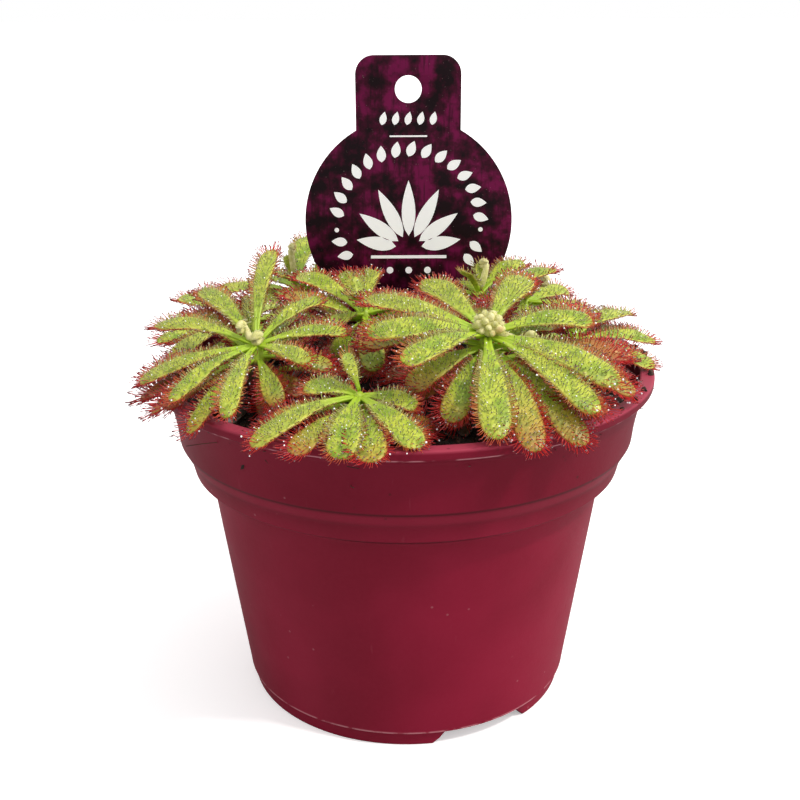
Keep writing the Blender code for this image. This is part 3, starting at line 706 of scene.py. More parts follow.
def leaf_mark(base, turn, length, half):
    """The outline of a plain printed leaf: pointed at both ends, from its base along a turn in degrees."""
    way = Vector((math.cos(math.radians(turn)), math.sin(math.radians(turn))))
    side = Vector((-way.y, way.x))
    shares = [step / 9 for step in range(10)]
    wide = [half * math.sin(math.pi * share**0.8) ** 0.9 if 0 < share < 1 else 0.0 for share in shares]
    start = Vector(base)
    right = [start + way * length * share - side * w for share, w in zip(shares, wide)]
    left = [start + way * length * share + side * w for share, w in zip(shares, wide)][-2:0:-1]
    return [tuple(point) for point in right + left]


def bar(centre, length, thick):
    """The outline of a printed rule."""
    left, right = centre[0] - length / 2, centre[0] + length / 2
    low, high = centre[1] - thick / 2, centre[1] + thick / 2
    return [(left, low), (right, low), (right, high), (left, high)]


def round_place(turn, radius):
    """A place on the disc, from its middle."""
    return (radius * math.cos(math.radians(turn)), DISC_HEIGHT + radius * math.sin(math.radians(turn)))


neck_turn = math.degrees(math.acos(NECK_HALF / DISC_RADIUS))
stake_turn = math.degrees(math.acos(STAKE_HALF / DISC_RADIUS))
corner_x, corner_z = NECK_HALF - LABEL_CORNER, LABEL_TOP - LABEL_CORNER
disc = (0.0, DISC_HEIGHT)
label_outline = [
    (0.0, STAKE_TIP),
    (STAKE_HALF, STAKE_TIP + STAKE_POINT),
    *arc(disc, DISC_RADIUS, -stake_turn, neck_turn, 48),
    *arc((corner_x, corner_z), LABEL_CORNER, 0, 90, 12),
    *arc((-corner_x, corner_z), LABEL_CORNER, 90, 180, 12),
    *arc(disc, DISC_RADIUS, 180 - neck_turn, 180 + stake_turn, 48),
    (-STAKE_HALF, STAKE_TIP + STAKE_POINT),
]
hang_hole = arc((0.0, HANG_HOLE_HEIGHT), HANG_HOLE_RADIUS, 0, 350, 35)
label = object_of(
    "label_plate",
    sheet_mesh("label_plate", [label_outline, hang_hole], LABEL_THICKNESS, LABEL_BEVEL, 0.0),
    finish("plum print", plum),
)
label.data.set_sharp_from_angle(angle=math.radians(30))
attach(label, "root")
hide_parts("label")

marks = [bar(*NECK_RULE)]
for x in NECK_LEAVES:
    marks.append(leaf_mark((x, NECK_LEAF_HEIGHT), *NECK_LEAF))
for turn in range(-30, 211, 12):
    if turn in RING_DOTS:
        marks.append(arc(round_place(turn, RING_DOT_RADIUS), SMALL_DOT, 0, 340, 17))
    else:
        marks.append(leaf_mark(round_place(turn, RING_LEAF_RADIUS), turn - RING_LEAF_TILT, *RING_LEAF))
for turn, length in FAN:
    way = Vector((math.cos(math.radians(turn)), math.sin(math.radians(turn))))
    marks.append(leaf_mark(Vector((0.0, FAN_HEIGHT)) + way * FAN_START, turn, length, FAN_LEAF_HALF))
marks.append(bar(*FAN_RULE))
for x in BOTTOM_DOTS:
    marks.append(arc((x, BOTTOM_DOT_HEIGHT), LARGE_DOT, 0, 340, 17))
print_face = -LABEL_THICKNESS / 2 - PRINT_THICKNESS / 2
print_mesh = sheet_mesh("label_print", marks, PRINT_THICKNESS, 0.0, print_face)
print_marks = object_of("label_print", print_mesh, finish("white print", print_white))
print_marks.data.shade_flat()
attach(print_marks, "root")

# Sundews: ten rosettes, each a stem in the peat with leaves round its crown. A leaf is a fleshy strap, narrow
# and bare at its base and broad at its round end. Young leaves are lime green, and older ones turn yellow,
# orange and red from the tip. The plan of the leaves is the solids' own, so each leaf is where theirs is.
GOLDEN_ANGLE = 137.508
STEM_RADIUS, STEM_DEPTH, STEM_CLEAR = 0.0024, 0.0045, 0.0010
CORE_RADIUS, CORE_LENGTH = 0.0037, 0.0110
CROWN_DROP = 0.0085
LEAF_THICKNESS = 0.0010
LEAF_STATIONS, YOUNG_STATIONS = (0.07, 0.44, 0.72, 0.90, 1.0), (0.07, 0.60, 0.88, 1.0)
LISTED_AGES, FOLLOWING_AGES, OLDER_AGES = (0.32, 0.62), (0.30, 0.66), (0.85, 1.0)
YOUNG_AGE, YOUNG_TURN, YOUNG_LEAVES = 0.25, 40, ((0.30, 0.06), (0.42, 0.14))
GROWN, WIDTH_GROWTH, RISE, DROOP, SINK = (0.05, 0.30), (0.45, 1.0), (64, 15), (8, 34), 31
BASE_SHARE, WIDENS, ROUND_END, TIP = 0.26, (0.10, 0.78), 0.82, 1.03
CUP_AT_BASE, CUP_AT_TIP = 0.30, -0.12
REACH, CLEAR, OVERHANG_LEAN, OVERHANG_STEP = 0.0655, 0.0004, 32.0, 0.0030
HANG_RADIUS, HANG_BELOW_LIP = 0.0620, 0.0100
LIFTS, SHORTEST, SHORTENING, LIFT_COST = (0, -8, 8, 16, 26), 0.35, 0.04, 110
ROSETTES = {
    "front_right": dict(
        seed=4, crown=(0.0178, -0.0290, 0.0998), tilt=23, toward=-88,
        length=0.0340, half=0.0033, room=1.6, more=0, older=9, young=0,
        upper=(
            (158, 0.9), (173, 0.95), (191, 0.82), (208, 1.0), (226, 0.85), (248, 1.0), (268, 0.95),
            (287, 1.0), (311, 1.0), (299, 1.0), (328, 0.92), (346, 1.0), (18, 0.72), (40, 0.62), (68, 0.7),
            (94, 0.5), (124, 0.7),
        ),
        scapes=((0.0003, -0.0006, 0.0012, 0.0035), (0.0092, -0.0041, 0.0008, 0.0018)),
    ),
    "front_left": dict(
        seed=12, crown=(-0.0333, -0.0262, 0.0968), tilt=22, toward=-112,
        length=0.0300, half=0.0023, room=1.1, more=0, older=7, young=0,
        upper=(
            (117, 1.0), (101, 0.9), (86, 0.95), (70, 0.95), (52, 0.9), (34, 0.75), (14, 0.7), (350, 0.75),
            (325, 0.5), (291, 0.55), (262, 1.0), (240, 0.9), (221, 1.0), (205, 0.95), (190, 1.0), (172, 0.95),
            (150, 0.95), (133, 1.0),
        ),
        scapes=((0.0004, -0.0008, 0.0006, 0.0021), (-0.0031, 0.0020, 0.0022, 0.0019)),
    ),
    "front_middle": dict(
        seed=4, crown=(-0.0100, -0.0430, 0.0905), tilt=16, toward=-95,
        length=0.0270, half=0.0032, room=0.75, more=0, older=4, young=1,
        upper=(
            (212, 1.0), (190, 0.9), (160, 0.7), (238, 0.85), (258, 0.9), (279, 0.95), (302, 0.8), (325, 0.6),
            (352, 0.6), (120, 0.5),
        ),
        scapes=(),
    ),
    "middle": dict(
        seed=3, crown=(-0.0100, 0.0010, 0.0970), tilt=10, toward=-110,
        length=0.0260, half=0.0031, room=1.0, more=12, older=4, young=2, upper=(), scapes=(),
    ),
    "middle_right": dict(
        seed=1, crown=(0.0190, 0.0130, 0.0985), tilt=8, toward=-60,
        length=0.0230, half=0.0030, room=1.0, more=8, older=3, young=2, upper=(),
        scapes=((0.0006, 0.0020, 0.0060, 0.0017),),
    ),
    "right": dict(
        seed=1, crown=(0.0420, 0.0030, 0.0895), tilt=12, toward=-70,
        length=0.0230, half=0.0029, room=1.0, more=10, older=4, young=2, upper=(), scapes=(),
    ),
    "left": dict(
        seed=5, crown=(-0.0420, 0.0130, 0.0915), tilt=15, toward=-115,
        length=0.0240, half=0.0029, room=1.0, more=11, older=4, young=2, upper=(), scapes=(),
    ),
    "back_left": dict(
        seed=8, crown=(-0.0300, 0.0385, 0.0945), tilt=18, toward=-110,
        length=0.0260, half=0.0031, room=1.0, more=12, older=5, young=2, upper=(),
        scapes=((0.0, 0.0040, 0.0082, 0.0020),),
    ),
    "back_right": dict(
        seed=2, crown=(0.0335, 0.0365, 0.0905), tilt=18, toward=-75,
        length=0.0260, half=0.0031, room=1.0, more=12, older=5, young=2, upper=(),
        scapes=((0.0030, -0.0060, 0.0090, 0.0024),),
    ),
    "back_middle": dict(
        seed=1, crown=(0.0010, 0.0450, 0.0920), tilt=16, toward=90,
        length=0.0210, half=0.0028, room=1.0, more=7, older=3, young=2, upper=(), scapes=(),
    ),
}


def mix(a, b, share):
    """The value at a share of the way from a to b."""
    return a + (b - a) * share


def dividing_planes(name):
    """Planes (point, outward direction) round the room that a rosette's leaves have to themselves."""
    own = ROSETTES[name]
    place = Vector(own["crown"])
    planes = []
    for other_name, other in ROSETTES.items():
        if other_name == name:
            continue
        there = Vector(other["crown"])
        away = Vector((there.x - place.x, there.y - place.y, 0.0)).normalized()
        lean = math.radians(OVERHANG_LEAN) * max(-1.0, min(1.0, (place.z - there.z) / OVERHANG_STEP))
        outward = away * math.cos(lean) - Vector((0.0, 0.0, math.sin(lean)))
        share = own["length"] * own["room"], other["length"] * other["room"]
        planes.append((place.lerp(there, share[0] / sum(share)), outward))
    side = -1 if place.y < LABEL_PLACE.y else 1
    face = Vector((0.0, LABEL_PLACE.y + side * LABEL_THICKNESS / 2, 0.0))
    planes.append((face, Vector((0.0, -side, 0.0))))
    return planes


def floor_height(x, y):
    """The lowest height that a leaf may have over the peat, over the lip and outside it."""
    radius = math.hypot(x, y)
    if radius > HANG_RADIUS:
        return LIP_BOTTOM - HANG_BELOW_LIP
    if radius > LOWER_BAND[0][0]:
        return LIP_TOP + CLEAR
    return peat_height(x, y) + CLEAR


def rosette_axes(rosette):
    """A matrix whose columns are the tilted rosette's own right, back and up directions."""
    toward = math.radians(rosette["toward"])
    axis = Vector((-math.sin(toward), math.cos(toward), 0.0))
    return Matrix.Rotation(math.radians(rosette["tilt"]), 3, axis)


def free_stem(rosette):
    """The length of a rosette's stem above the peat."""
    x, y, height = rosette["crown"]
    return height - peat_height(x, y) - STEM_CLEAR


def leaf_plan(name):
    """Every leaf of a rosette, as a dict of its age, length, half-width and angles in radians."""
    rosette = ROSETTES[name]
    draw = random.Random(rosette["seed"])
    start = draw.uniform(0, 360)
    leaves = [(azimuth, share, LISTED_AGES[i % 2]) for i, (azimuth, share) in enumerate(rosette["upper"])]
    for i in range(rosette["more"]):
        age = mix(*FOLLOWING_AGES, i / rosette["more"])
        leaves.append((start + GOLDEN_ANGLE * i, draw.uniform(0.9, 1.04), age))
    for i in range(rosette["older"]):
        azimuth = start + 360 * (i + draw.uniform(-0.2, 0.2)) / rosette["older"]
        leaves.append((azimuth, draw.uniform(0.88, 1.0), draw.uniform(*OLDER_AGES)))
    for i, (share, age) in enumerate(YOUNG_LEAVES[: rosette["young"]]):
        leaves.append((start + YOUNG_TURN + GOLDEN_ANGLE * i, share, age))
    plan = []
    for azimuth, share, age in leaves:
        young = smooth(age, *GROWN)
        rise = mix(*RISE, young) - SINK * max(0.0, age - GROWN[1])
        plan.append(
            dict(
                azimuth=math.radians(azimuth),
                age=age,
                length=rosette["length"] * share,
                half=rosette["half"] * mix(*WIDTH_GROWTH, young) * draw.uniform(0.92, 1.10),
                rise=math.radians(rise + draw.uniform(-1.5, 1.5)),
                droop=math.radians(mix(*DROOP, young) + draw.uniform(-3, 5)),
                bend=math.radians(draw.uniform(-9, 9)),
                roll=math.radians(draw.uniform(-6, 6)),
            )
        )
    return plan


def half_width(leaf, share, power=2.0):
    """Half of a leaf's width at a share of its length: a narrow base, then a broad blade with a round end."""
    blade = mix(BASE_SHARE, 1.0, smooth(share, *WIDENS))
    end = max(0.0, (share - ROUND_END) / (TIP - ROUND_END))
    return leaf["half"] * blade * math.sqrt(max(0.0, 1 - end**power))


def sections(rosette, leaf, lift, share, stations, power=2.0):
    """The leaf at each station: its middle, its own three directions, its half-width and its two edges."""
    right, back, up = rosette_axes(rosette).col
    drop = min(CROWN_DROP, free_stem(rosette)) * leaf["age"] ** 1.5
    middle = Vector(rosette["crown"]) - Vector((0.0, 0.0, drop))
    found = []
    before = 0.0
    for station in stations:
        half_way = (before + station) / 2
        turn = leaf["azimuth"] + leaf["bend"] * half_way
        slope = leaf["rise"] + lift - leaf["droop"] * half_way**1.5
        out = right * math.cos(turn) + back * math.sin(turn)
        along = out * math.cos(slope) + up * math.sin(slope)
        middle = middle + along * leaf["length"] * share * (station - before)
        side = Matrix.Rotation(leaf["roll"] * station, 3, along) @ along.cross(up).normalized()
        above = side.cross(along)
        wide = half_width(leaf, station, power)
        cup = above * wide * mix(CUP_AT_BASE, CUP_AT_TIP, station)
        edges = (middle - side * wide + cup, middle + side * wide + cup)
        found.append((middle, along, side, above, wide, edges))
        before = station
    return found


def beyond(point, planes):
    """How far a point lies outside its rosette's room, past the plant's reach or under the floor."""
    past = max((point - place).dot(outward) for place, outward in planes)
    out = math.hypot(point.x, point.y) - REACH
    under = floor_height(point.x, point.y) - point.z
    return max(past + CLEAR, out, under)


def worst(found, planes):
    """How far a leaf reaches beyond its room, looking along its two edges and under its midrib."""
    lines = [[section[5][0] for section in found], [section[5][1] for section in found]]
    lines.append([section[0] - section[3] * LEAF_THICKNESS / 2 for section in found])
    points = []
    for line in lines:
        for a, b in zip(line, line[1:]):
            points += [a.lerp(b, step / 4) for step in range(1, 5)]
    return max(beyond(point, planes) for point in points)


def fitted(rosette, leaf, planes, stations):
    """The lift and the share of its length with which a leaf has the best room."""
    best = None
    for lift in LIFTS:
        share = 1.0
        while True:
            crossing = worst(sections(rosette, leaf, math.radians(lift), share, stations), planes)
            if crossing < 0.0 or share < SHORTEST:
                break
            share -= SHORTENING
        worth = share - abs(lift) / LIFT_COST - max(0.0, crossing) * 1000
        if best is None or worth > best[0]:
            best = (worth, math.radians(lift), share)
    return best[1:]


# The fine blades: stations along and across, where hairs start, how full the round end is, and the depths and
# widths of the groove above the midrib and the keel below it.
FINE_STATIONS = (
    0.0, 0.08, 0.16, 0.25, 0.34, 0.43, 0.52, 0.61, 0.70, 0.78, 0.85, 0.91, 0.96, 0.995, 1.018, TIP,
)
ACROSS = (-1.0, -0.84, -0.56, -0.24, 0.0, 0.24, 0.56, 0.84, 1.0)
HAIRS_START, HAIRS_FULL, RIM_HAIRS_START = 0.20, 0.40, 0.24
FULL_END = 2.5
RIPPLE, GROOVE, KEEL = 0.00022, (0.00030, 0.25), (0.00040, 0.30)
STEM_SIDES = 14
WITHERED, WITHERED_AGE, WITHERED_WIDTH = 6, 1.4, 0.55


class Blades:
    """One rosette's leaf blades as points, faces and the values that the finish and the hairs read."""

    def __init__(self):
        self.points, self.faces = [], []
        self.values = {name: [] for name in ("along", "across", "age", "hue", "hair", "rim", "lean", "above")}

    def add_point(self, place, **values):
        """A point with its values, and its number."""
        self.points.append(place)
        for name, value in values.items():
            self.values[name].append(value)
        return len(self.points) - 1

    def skin(self, rings, start, end):
        """Faces between rings of points, closed at a point at each end."""
        count = len(rings[0])
        for k in range(count):
            after = (k + 1) % count
            self.faces.append((rings[0][k], rings[0][after], start))
            self.faces.append((rings[-1][after], rings[-1][k], end))
            for ring, next_ring in zip(rings, rings[1:]):
                self.faces.append((ring[after], ring[k], next_ring[k], next_ring[after]))

    def add_leaf(self, rosette, leaf, lift, share, draw):
        """A closed blade: its upper face hollowed along the midrib, its rim rounded and its keel below."""
        found = sections(rosette, leaf, lift, share, FINE_STATIONS, FULL_END)
        hue = draw.uniform(0, 1)
        wave = draw.uniform(0, 6.28)
        alive = leaf["age"] < WITHERED_AGE
        rings = []
        for station, (middle, along, side, above, wide, _) in zip(FINE_STATIONS, found):
            common = dict(along=station, age=leaf["age"], hue=hue, above=above)
            if station == TIP:
                last = dict(across=0.0, hair=float(alive), rim=float(alive), lean=along)
                end = self.add_point(middle, **last, **common)
                continue
            thick = LEAF_THICKNESS * mix(1.0, 0.62, smooth(station, 0.2, 0.9))
            cup = wide * mix(CUP_AT_BASE, CUP_AT_TIP, station)
            forward = smooth(station, 0.72, TIP)
            grown_hair = smooth(station, HAIRS_START, HAIRS_FULL)
            ring = []
            for face in (1, -1):
                hair = grown_hair if face > 0 and alive else 0.0
                depth, width = GROOVE if face > 0 else KEEL
                for a in ACROSS if face > 0 else ACROSS[-2:0:-1]:
                    ripple = RIPPLE * math.sin(wave + 13 * station + 2.5 * a) * smooth(station, 0.3, 0.7)
                    edge = math.sqrt(max(0.0, 1 - a * a))
                    rise = cup * a * a + face * thick / 2 * edge + ripple * abs(a)
                    rise -= depth * math.exp(-((a / width) ** 2)) * (1.1 - station)
                    place = middle + side * wide * a + above * rise
                    rim = float(abs(a) == 1.0 and station > RIM_HAIRS_START and alive)
                    lean = (side * a * (1 - forward * 0.55) + along * forward) * face
                    ring.append(self.add_point(place, across=a, hair=hair, rim=rim, lean=lean, **common))
            rings.append(ring)
        foot, along, _, above = found[0][:4]
        bare = dict(along=0.0, across=0.0, age=leaf["age"], hue=hue, hair=0.0, rim=0.0)
        root = self.add_point(foot, lean=along, above=above, **bare)
        self.skin(rings, root, end)

    def add_stem(self, rosette, draw):
        """The stem, rough with the stumps of old leaves, from within the peat up to the crown."""
        x, y, top = rosette["crown"]
        low = peat_height(x, y) - STEM_DEPTH * 0.9
        core_foot = top - min(CORE_LENGTH, free_stem(rosette))
        profile = [(STEM_RADIUS * 0.9, low)]
        profile += [(STEM_RADIUS, core_foot - 0.0006), (CORE_RADIUS, core_foot + 0.0006)]
        for step in range(1, 6):
            narrower = mix(CORE_RADIUS, CORE_RADIUS * 0.35, step / 5)
            profile.append((narrower, mix(core_foot, top - STEM_CLEAR, step / 5)))
        rings = []
        up = Vector((0, 0, 1))
        for radius, height in profile:
            green = smooth(height, core_foot + 0.35 * (top - core_foot), top)
            values = dict(along=0.2, across=0.0, age=mix(1.4, 0.3, green), hue=0.5, hair=0.6 * green, rim=0.0)
            ring = []
            for step in range(STEM_SIDES):
                turn = 2 * math.pi * step / STEM_SIDES
                wide = radius * (0.9 + 0.1 * draw.uniform(-1, 1))
                spot = Vector((x + wide * math.cos(turn), y + wide * math.sin(turn), height))
                ring.append(self.add_point(spot, lean=up, above=up, **values))
            rings.append(ring)
        ends = [self.add_point(Vector((x, y, height)), lean=up, above=up, **values) for height in (low, top)]
        self.skin(rings, *ends)

    def mesh(self, name):
        """The gathered blades as a mesh with their values kept on its points."""
        mesh = bpy.data.meshes.new(name)
        mesh.from_pydata(self.points, [], self.faces)
        for label, values in self.values.items():
            vector = isinstance(values[0], Vector)
            kept_on = mesh.attributes.new(label, "FLOAT_VECTOR" if vector else "FLOAT", "POINT")
            kept_on.data.foreach_set("vector" if vector else "value", np.array(values, np.float32).ravel())
        return faced_out(mesh)


def kept_value(place, name):
    """A value kept on the mesh's points, for a material."""
    return place.node("ShaderNodeAttribute", settings={"attribute_name": name}, output=2)


def leaf_green(place):
    """Lime green, yellower along the rim, turning orange and red from the tip with age, then brown."""
    along, across = kept_value(place, "along"), kept_value(place, "across")
    age, hue = kept_value(place, "age"), kept_value(place, "hue")
    rim = (across * across).between(0.52, 1.0)
    blade = along.between(0.1, 0.4)
    cloud = grain(place, 260.0)
    vein = grain(place, 800.0, 3.0, 0.6)
    fleck = grain(place, 1500.0, 2.0)
    dead = grain(place, 500.0, 3.0, 0.5, (1.0, 1.0, 0.4))
    turning = along * 0.72 + age * 1.05 + rim * 0.16 + cloud * 0.30 + hue * 0.16 - 0.24
    colour = layered(
        over(cloud.between(0.35, 0.65), (0.24, 0.39, 0.012), (0.56, 0.63, 0.055)),
        (hue * 0.4, (0.56, 0.54, 0.090)),
        (1 - along.between(0.10, 0.48), (0.40, 0.58, 0.028)),
        (rim * along.between(0.2, 0.7) * 0.85, (0.88, 0.82, 0.150)),
        (turning.between(1.06, 1.50) * 0.80, (0.50, 0.19, 0.034)),
        (turning.between(1.32, 1.72) * 0.85, (0.42, 0.045, 0.022)),
        (vein.between(0.50, 0.34) * 0.55 * blade, (0.10, 0.16, 0.010)),
        (vein.between(0.60, 0.72) * 0.50 * blade, (0.86, 0.86, 0.34)),
        (fleck.between(0.56, 0.66) * 0.42 * along.between(0.2, 0.5), (0.10, 0.13, 0.012)),
        (age.between(1.05, 1.25), dead.tints((0.35, (0.020, 0.010, 0.006)), (0.7, (0.110, 0.060, 0.028)))),
    )
    relief = grain(place, 1100.0, 2.0) * 0.5 + grain(place, 420.0, 2.0, 0.5) * 0.5
    return {
        "Base Color": colour, "Roughness": 0.36 + cloud * 0.14, "Normal": bumps(relief, 0.22, 0.0003),
        "Subsurface Weight": 0.12, "Subsurface Radius": (0.0010, 0.0012, 0.0004), "Subsurface Scale": 1.0,
    }


leaf_finish = finish("sundew leaf", leaf_green)
blades = {}
for name, rosette in ROSETTES.items():
    draw = random.Random(rosette["seed"] + 100)
    planes = dividing_planes(name)
    gathered = Blades()
    for leaf in leaf_plan(name):
        stations = YOUNG_STATIONS if leaf["age"] < YOUNG_AGE else LEAF_STATIONS
        lift, share = fitted(rosette, leaf, planes, stations)
        gathered.add_leaf(rosette, leaf, lift, share, draw)
    gathered.add_stem(rosette, draw)
    for index in range(WITHERED):
        old = dict(
            azimuth=math.radians(360 * (index + draw.uniform(-0.3, 0.3)) / WITHERED), age=WITHERED_AGE,
            length=rosette["length"] * draw.uniform(0.5, 0.75), half=rosette["half"] * WITHERED_WIDTH,
            rise=math.radians(-8), droop=math.radians(draw.uniform(0, 16)),
            bend=math.radians(draw.uniform(-25, 25)), roll=math.radians(draw.uniform(-40, 40)),
        )
        lift, share = fitted(rosette, old, planes, LEAF_STATIONS)
        if share > SHORTEST:
            gathered.add_leaf(rosette, old, lift, share, draw)
    blades[name] = object_of("leaves_" + name, gathered.mesh("leaves_" + name), leaf_finish)
    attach(blades[name], "root")
    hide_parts("rosette_" + name)

# Tentacles: fine stalks with a dark red gland at the tip stand all over each leaf's upper face and along its
# rim, longer and redder towards the rim and the leaf's end. Many glands on the face hold a drop of clear
# sticky dew.
FRONT_SPACING, REAR_SPACING, RIM_SPACING = 0.00064, 0.00082, 0.00040
FACE_LENGTH, RIM_LENGTH = 0.00100, 0.0034
STALK_RADIUS, DROP_RADIUS, DRY_SHARE, GLINTING = 0.00017, 0.00020, 0.42, 0.18


def unit(vector):
    """The vector at a length of 1."""
    return vector.node("ShaderNodeVectorMath", {0: vector}, {"operation": "NORMALIZE"})


tentacle_inputs = dict(
    Spacing="Float", Edge_Spacing="Float", Length="Float", Edge_Length="Float", Thickness="Float",
    Drop_Radius="Float", Drops="Bool", Seed="Int", Material="Material",
)
tentacle_tree, given = geometry_tree("tentacles", **tentacle_inputs)
leaf_surface = given["Geometry"]
hair = named(leaf_surface, "hair")
spread = {
    "Mesh": leaf_surface, "Selection": hair > 0.02, "Distance Min": given["Spacing"], "Density Max": 6.0e6,
    "Density Factor": hair, "Seed": given["Seed"],
}
on_face = leaf_surface.node("GeometryNodeDistributePointsOnFaces", spread, {"distribute_method": "POISSON"})
face_normal = Socket(on_face.socket.node.outputs["Normal"])
lean = named(on_face, "lean", VECTOR)
size = lean.node("ShaderNodeVectorMath", {0: lean}, {"operation": "LENGTH"}, "Value")
stray = random_in(on_face, (-0.25,) * 3, (0.25,) * 3, 11, VECTOR)
on_face = kept(on_face, "aim", unit(plus(plus(face_normal, times(lean, 0.85)), stray)), VECTOR)
long = size * size * 0.8 + 0.55 + named(on_face, "age") * 0.45
on_face = kept(on_face, "long", long * random_in(on_face, 0.75, 1.25, 12) * given["Length"])
on_face = kept(on_face, "edge", size ** 3.0)

rim_edges = named(leaf_surface, "rim") > 0.99
rim_line = leaf_surface.node("GeometryNodeMeshToCurve", {0: leaf_surface, "Selection": rim_edges})
measured = {0: rim_line, "Length": given["Edge Spacing"]}
on_rim = rim_line.node("GeometryNodeCurveToPoints", measured, {"mode": "LENGTH"})
lean, above = named(on_rim, "lean", VECTOR), named(on_rim, "above", VECTOR)
stray = random_in(on_rim, (-0.28,) * 3, (0.28,) * 3, 13, VECTOR)
on_rim = kept(on_rim, "aim", unit(plus(plus(lean, times(above, 0.30)), stray)), VECTOR)
toward_tip = (named(on_rim, "along") ** 2.0 * 0.68 + 0.32) * (named(on_rim, "age") * 0.65 + 0.45)
on_rim = kept(on_rim, "long", toward_tip * random_in(on_rim, 0.75, 1.15, 14) * given["Edge Length"])
on_rim = kept(on_rim, "edge", 1.0)

# The rim's points have no id of their own, so all of them share one curl and one tint, and none is wet.
both = tentacle_tree.nodes.new("GeometryNodeJoinGeometry")
for points in (on_face, on_rim):
    tentacle_tree.links.new(points.socket, both.inputs[0])
roots = Socket(both.outputs[0])
roots = kept(roots, "root", roots.node("GeometryNodeInputPosition"), VECTOR)
roots = kept(roots, "curl", random_in(roots, (-0.22, -0.22, -0.16), (0.22, 0.22, 0.24), 15, VECTOR), VECTOR)
roots = kept(roots, "tint", random_in(roots, 0.0, 1.0, 16))


def tip_of(points, share):
    """The place at a share along each tentacle."""
    long = named(points, "long")
    return bent(points, long * share, long * share * share)


line = roots.node("GeometryNodeCurvePrimitiveLine", {"Start": (0, 0, 0), "End": (0, 0, 1)})
stalks = roots.node("GeometryNodeInstanceOnPoints", {"Points": roots, "Instance": line})
stalks = stalks.node("GeometryNodeRealizeInstances", {0: stalks})
stalks = stalks.node("GeometryNodeResampleCurve", {0: stalks, "Count": (named(stalks, "edge") > 0.99) + 3})
stalks = kept(stalks, "height", 1 - (1 - stalks.node("GeometryNodeSplineParameter")) ** 2.7)
height = named(stalks, "height")
stalks = stalks.node("GeometryNodeSetPosition", {0: stalks, "Position": tip_of(stalks, height)})
swell = height.tints((0.0, (0.62,) * 3), (0.64, (0.36,) * 3), (0.93, (1.0,) * 3), (1.0, (0.35,) * 3))
stalks = thin_tubes(stalks, swell * given["Thickness"])

bead = roots.node("GeometryNodeMeshIcoSphere", {"Radius": 1.0, "Subdivisions": 1})
wet = roots.node("GeometryNodeSetPosition", {0: roots, "Position": tip_of(roots, 0.95)})
bead_size = random_in(wet, 0.6, 1.15, 17) * (named(wet, "edge") * 0.45 + 0.7) * given["Drop Radius"]
held = random_in(wet, 0.0, 1.0, 18) > DRY_SHARE
beads = {"Points": wet, "Selection": held, "Instance": bead, "Scale": bead_size}
beads = wet.node("GeometryNodeInstanceOnPoints", beads)
chosen = stalks.node("GeometryNodeSwitch", {"Switch": given["Drops"], "False": stalks, "True": beads})
close_tree(tentacle_tree, chosen)


def tentacle_red(place):
    """Pale green stalks, crimson towards the rim and the tip of older leaves, each with a dark gland."""
    height, edge, tint = kept_value(place, "height"), kept_value(place, "edge"), kept_value(place, "tint")
    along, age, hue = kept_value(place, "along"), kept_value(place, "age"), kept_value(place, "hue")
    flush = along * 0.60 + age * 1.15 + edge * 0.72 + tint * 0.25 + height * 0.15 + hue * 0.20
    gland = over(edge.between(0.5, 1.0), (0.022, 0.004, 0.006), (0.20, 0.006, 0.010))
    colour = layered(
        over(tint, (0.48, 0.52, 0.13), (0.60, 0.60, 0.24)),
        (flush.between(1.40, 1.90), (0.68, 0.26, 0.060)),
        (flush.between(1.65, 2.10), (0.64, 0.026, 0.024)),
        (height.between(0.80, 0.88), gland),
    )
    return {"Base Color": colour, "Roughness": 0.30}


def dew(place):
    """Clear drops."""
    return {"Base Color": WHITE, "Roughness": 0.03, "IOR": 1.36, "Transmission Weight": 0.85}


def glinting(material):
    """The material with a white, faintly glowing shader on a random share of the drops: painted glints."""
    nodes = material.node_tree.nodes
    clear = Socket(nodes["Principled BSDF"].outputs["BSDF"])
    inputs = {
        "Base Color": WHITE, "Roughness": 0.03, "IOR": 1.36, "Transmission Weight": 0.10,
        "Emission Color": WHITE, "Emission Strength": 0.25,
    }
    white = clear.node("ShaderNodeBsdfPrincipled", inputs)
    # Painted glints: the drops whose tint is low get the white shader, wherever the light falls.
    painted_glint = kept_value(clear, "tint") < GLINTING
    mixture = clear.node("ShaderNodeMixShader", {0: painted_glint, 1: clear, 2: white})
    feed(nodes["Material Output"].inputs["Surface"], mixture)
    return material


tentacle_finish = finish("sundew tentacle", tentacle_red)
dew_finish = glinting(finish("dew", dew))
for index, (name, rosette) in enumerate(ROSETTES.items()):
    big = rosette["length"] / ROSETTES["front_right"]["length"]
    sizes = dict(
        Spacing=FRONT_SPACING if name.startswith("front") else REAR_SPACING, Edge_Spacing=RIM_SPACING,
        Length=FACE_LENGTH, Edge_Length=RIM_LENGTH * mix(0.7, 1.0, big), Thickness=STALK_RADIUS,
        Drop_Radius=DROP_RADIUS, Seed=20 + index,
    )
    for part, drops, material in (("tentacles_", False, tentacle_finish), ("dew_", True, dew_finish)):
        piece = grown(part + name, blades[name], tentacle_tree, Drops=drops, Material=material, **sizes)
        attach(piece, "root")

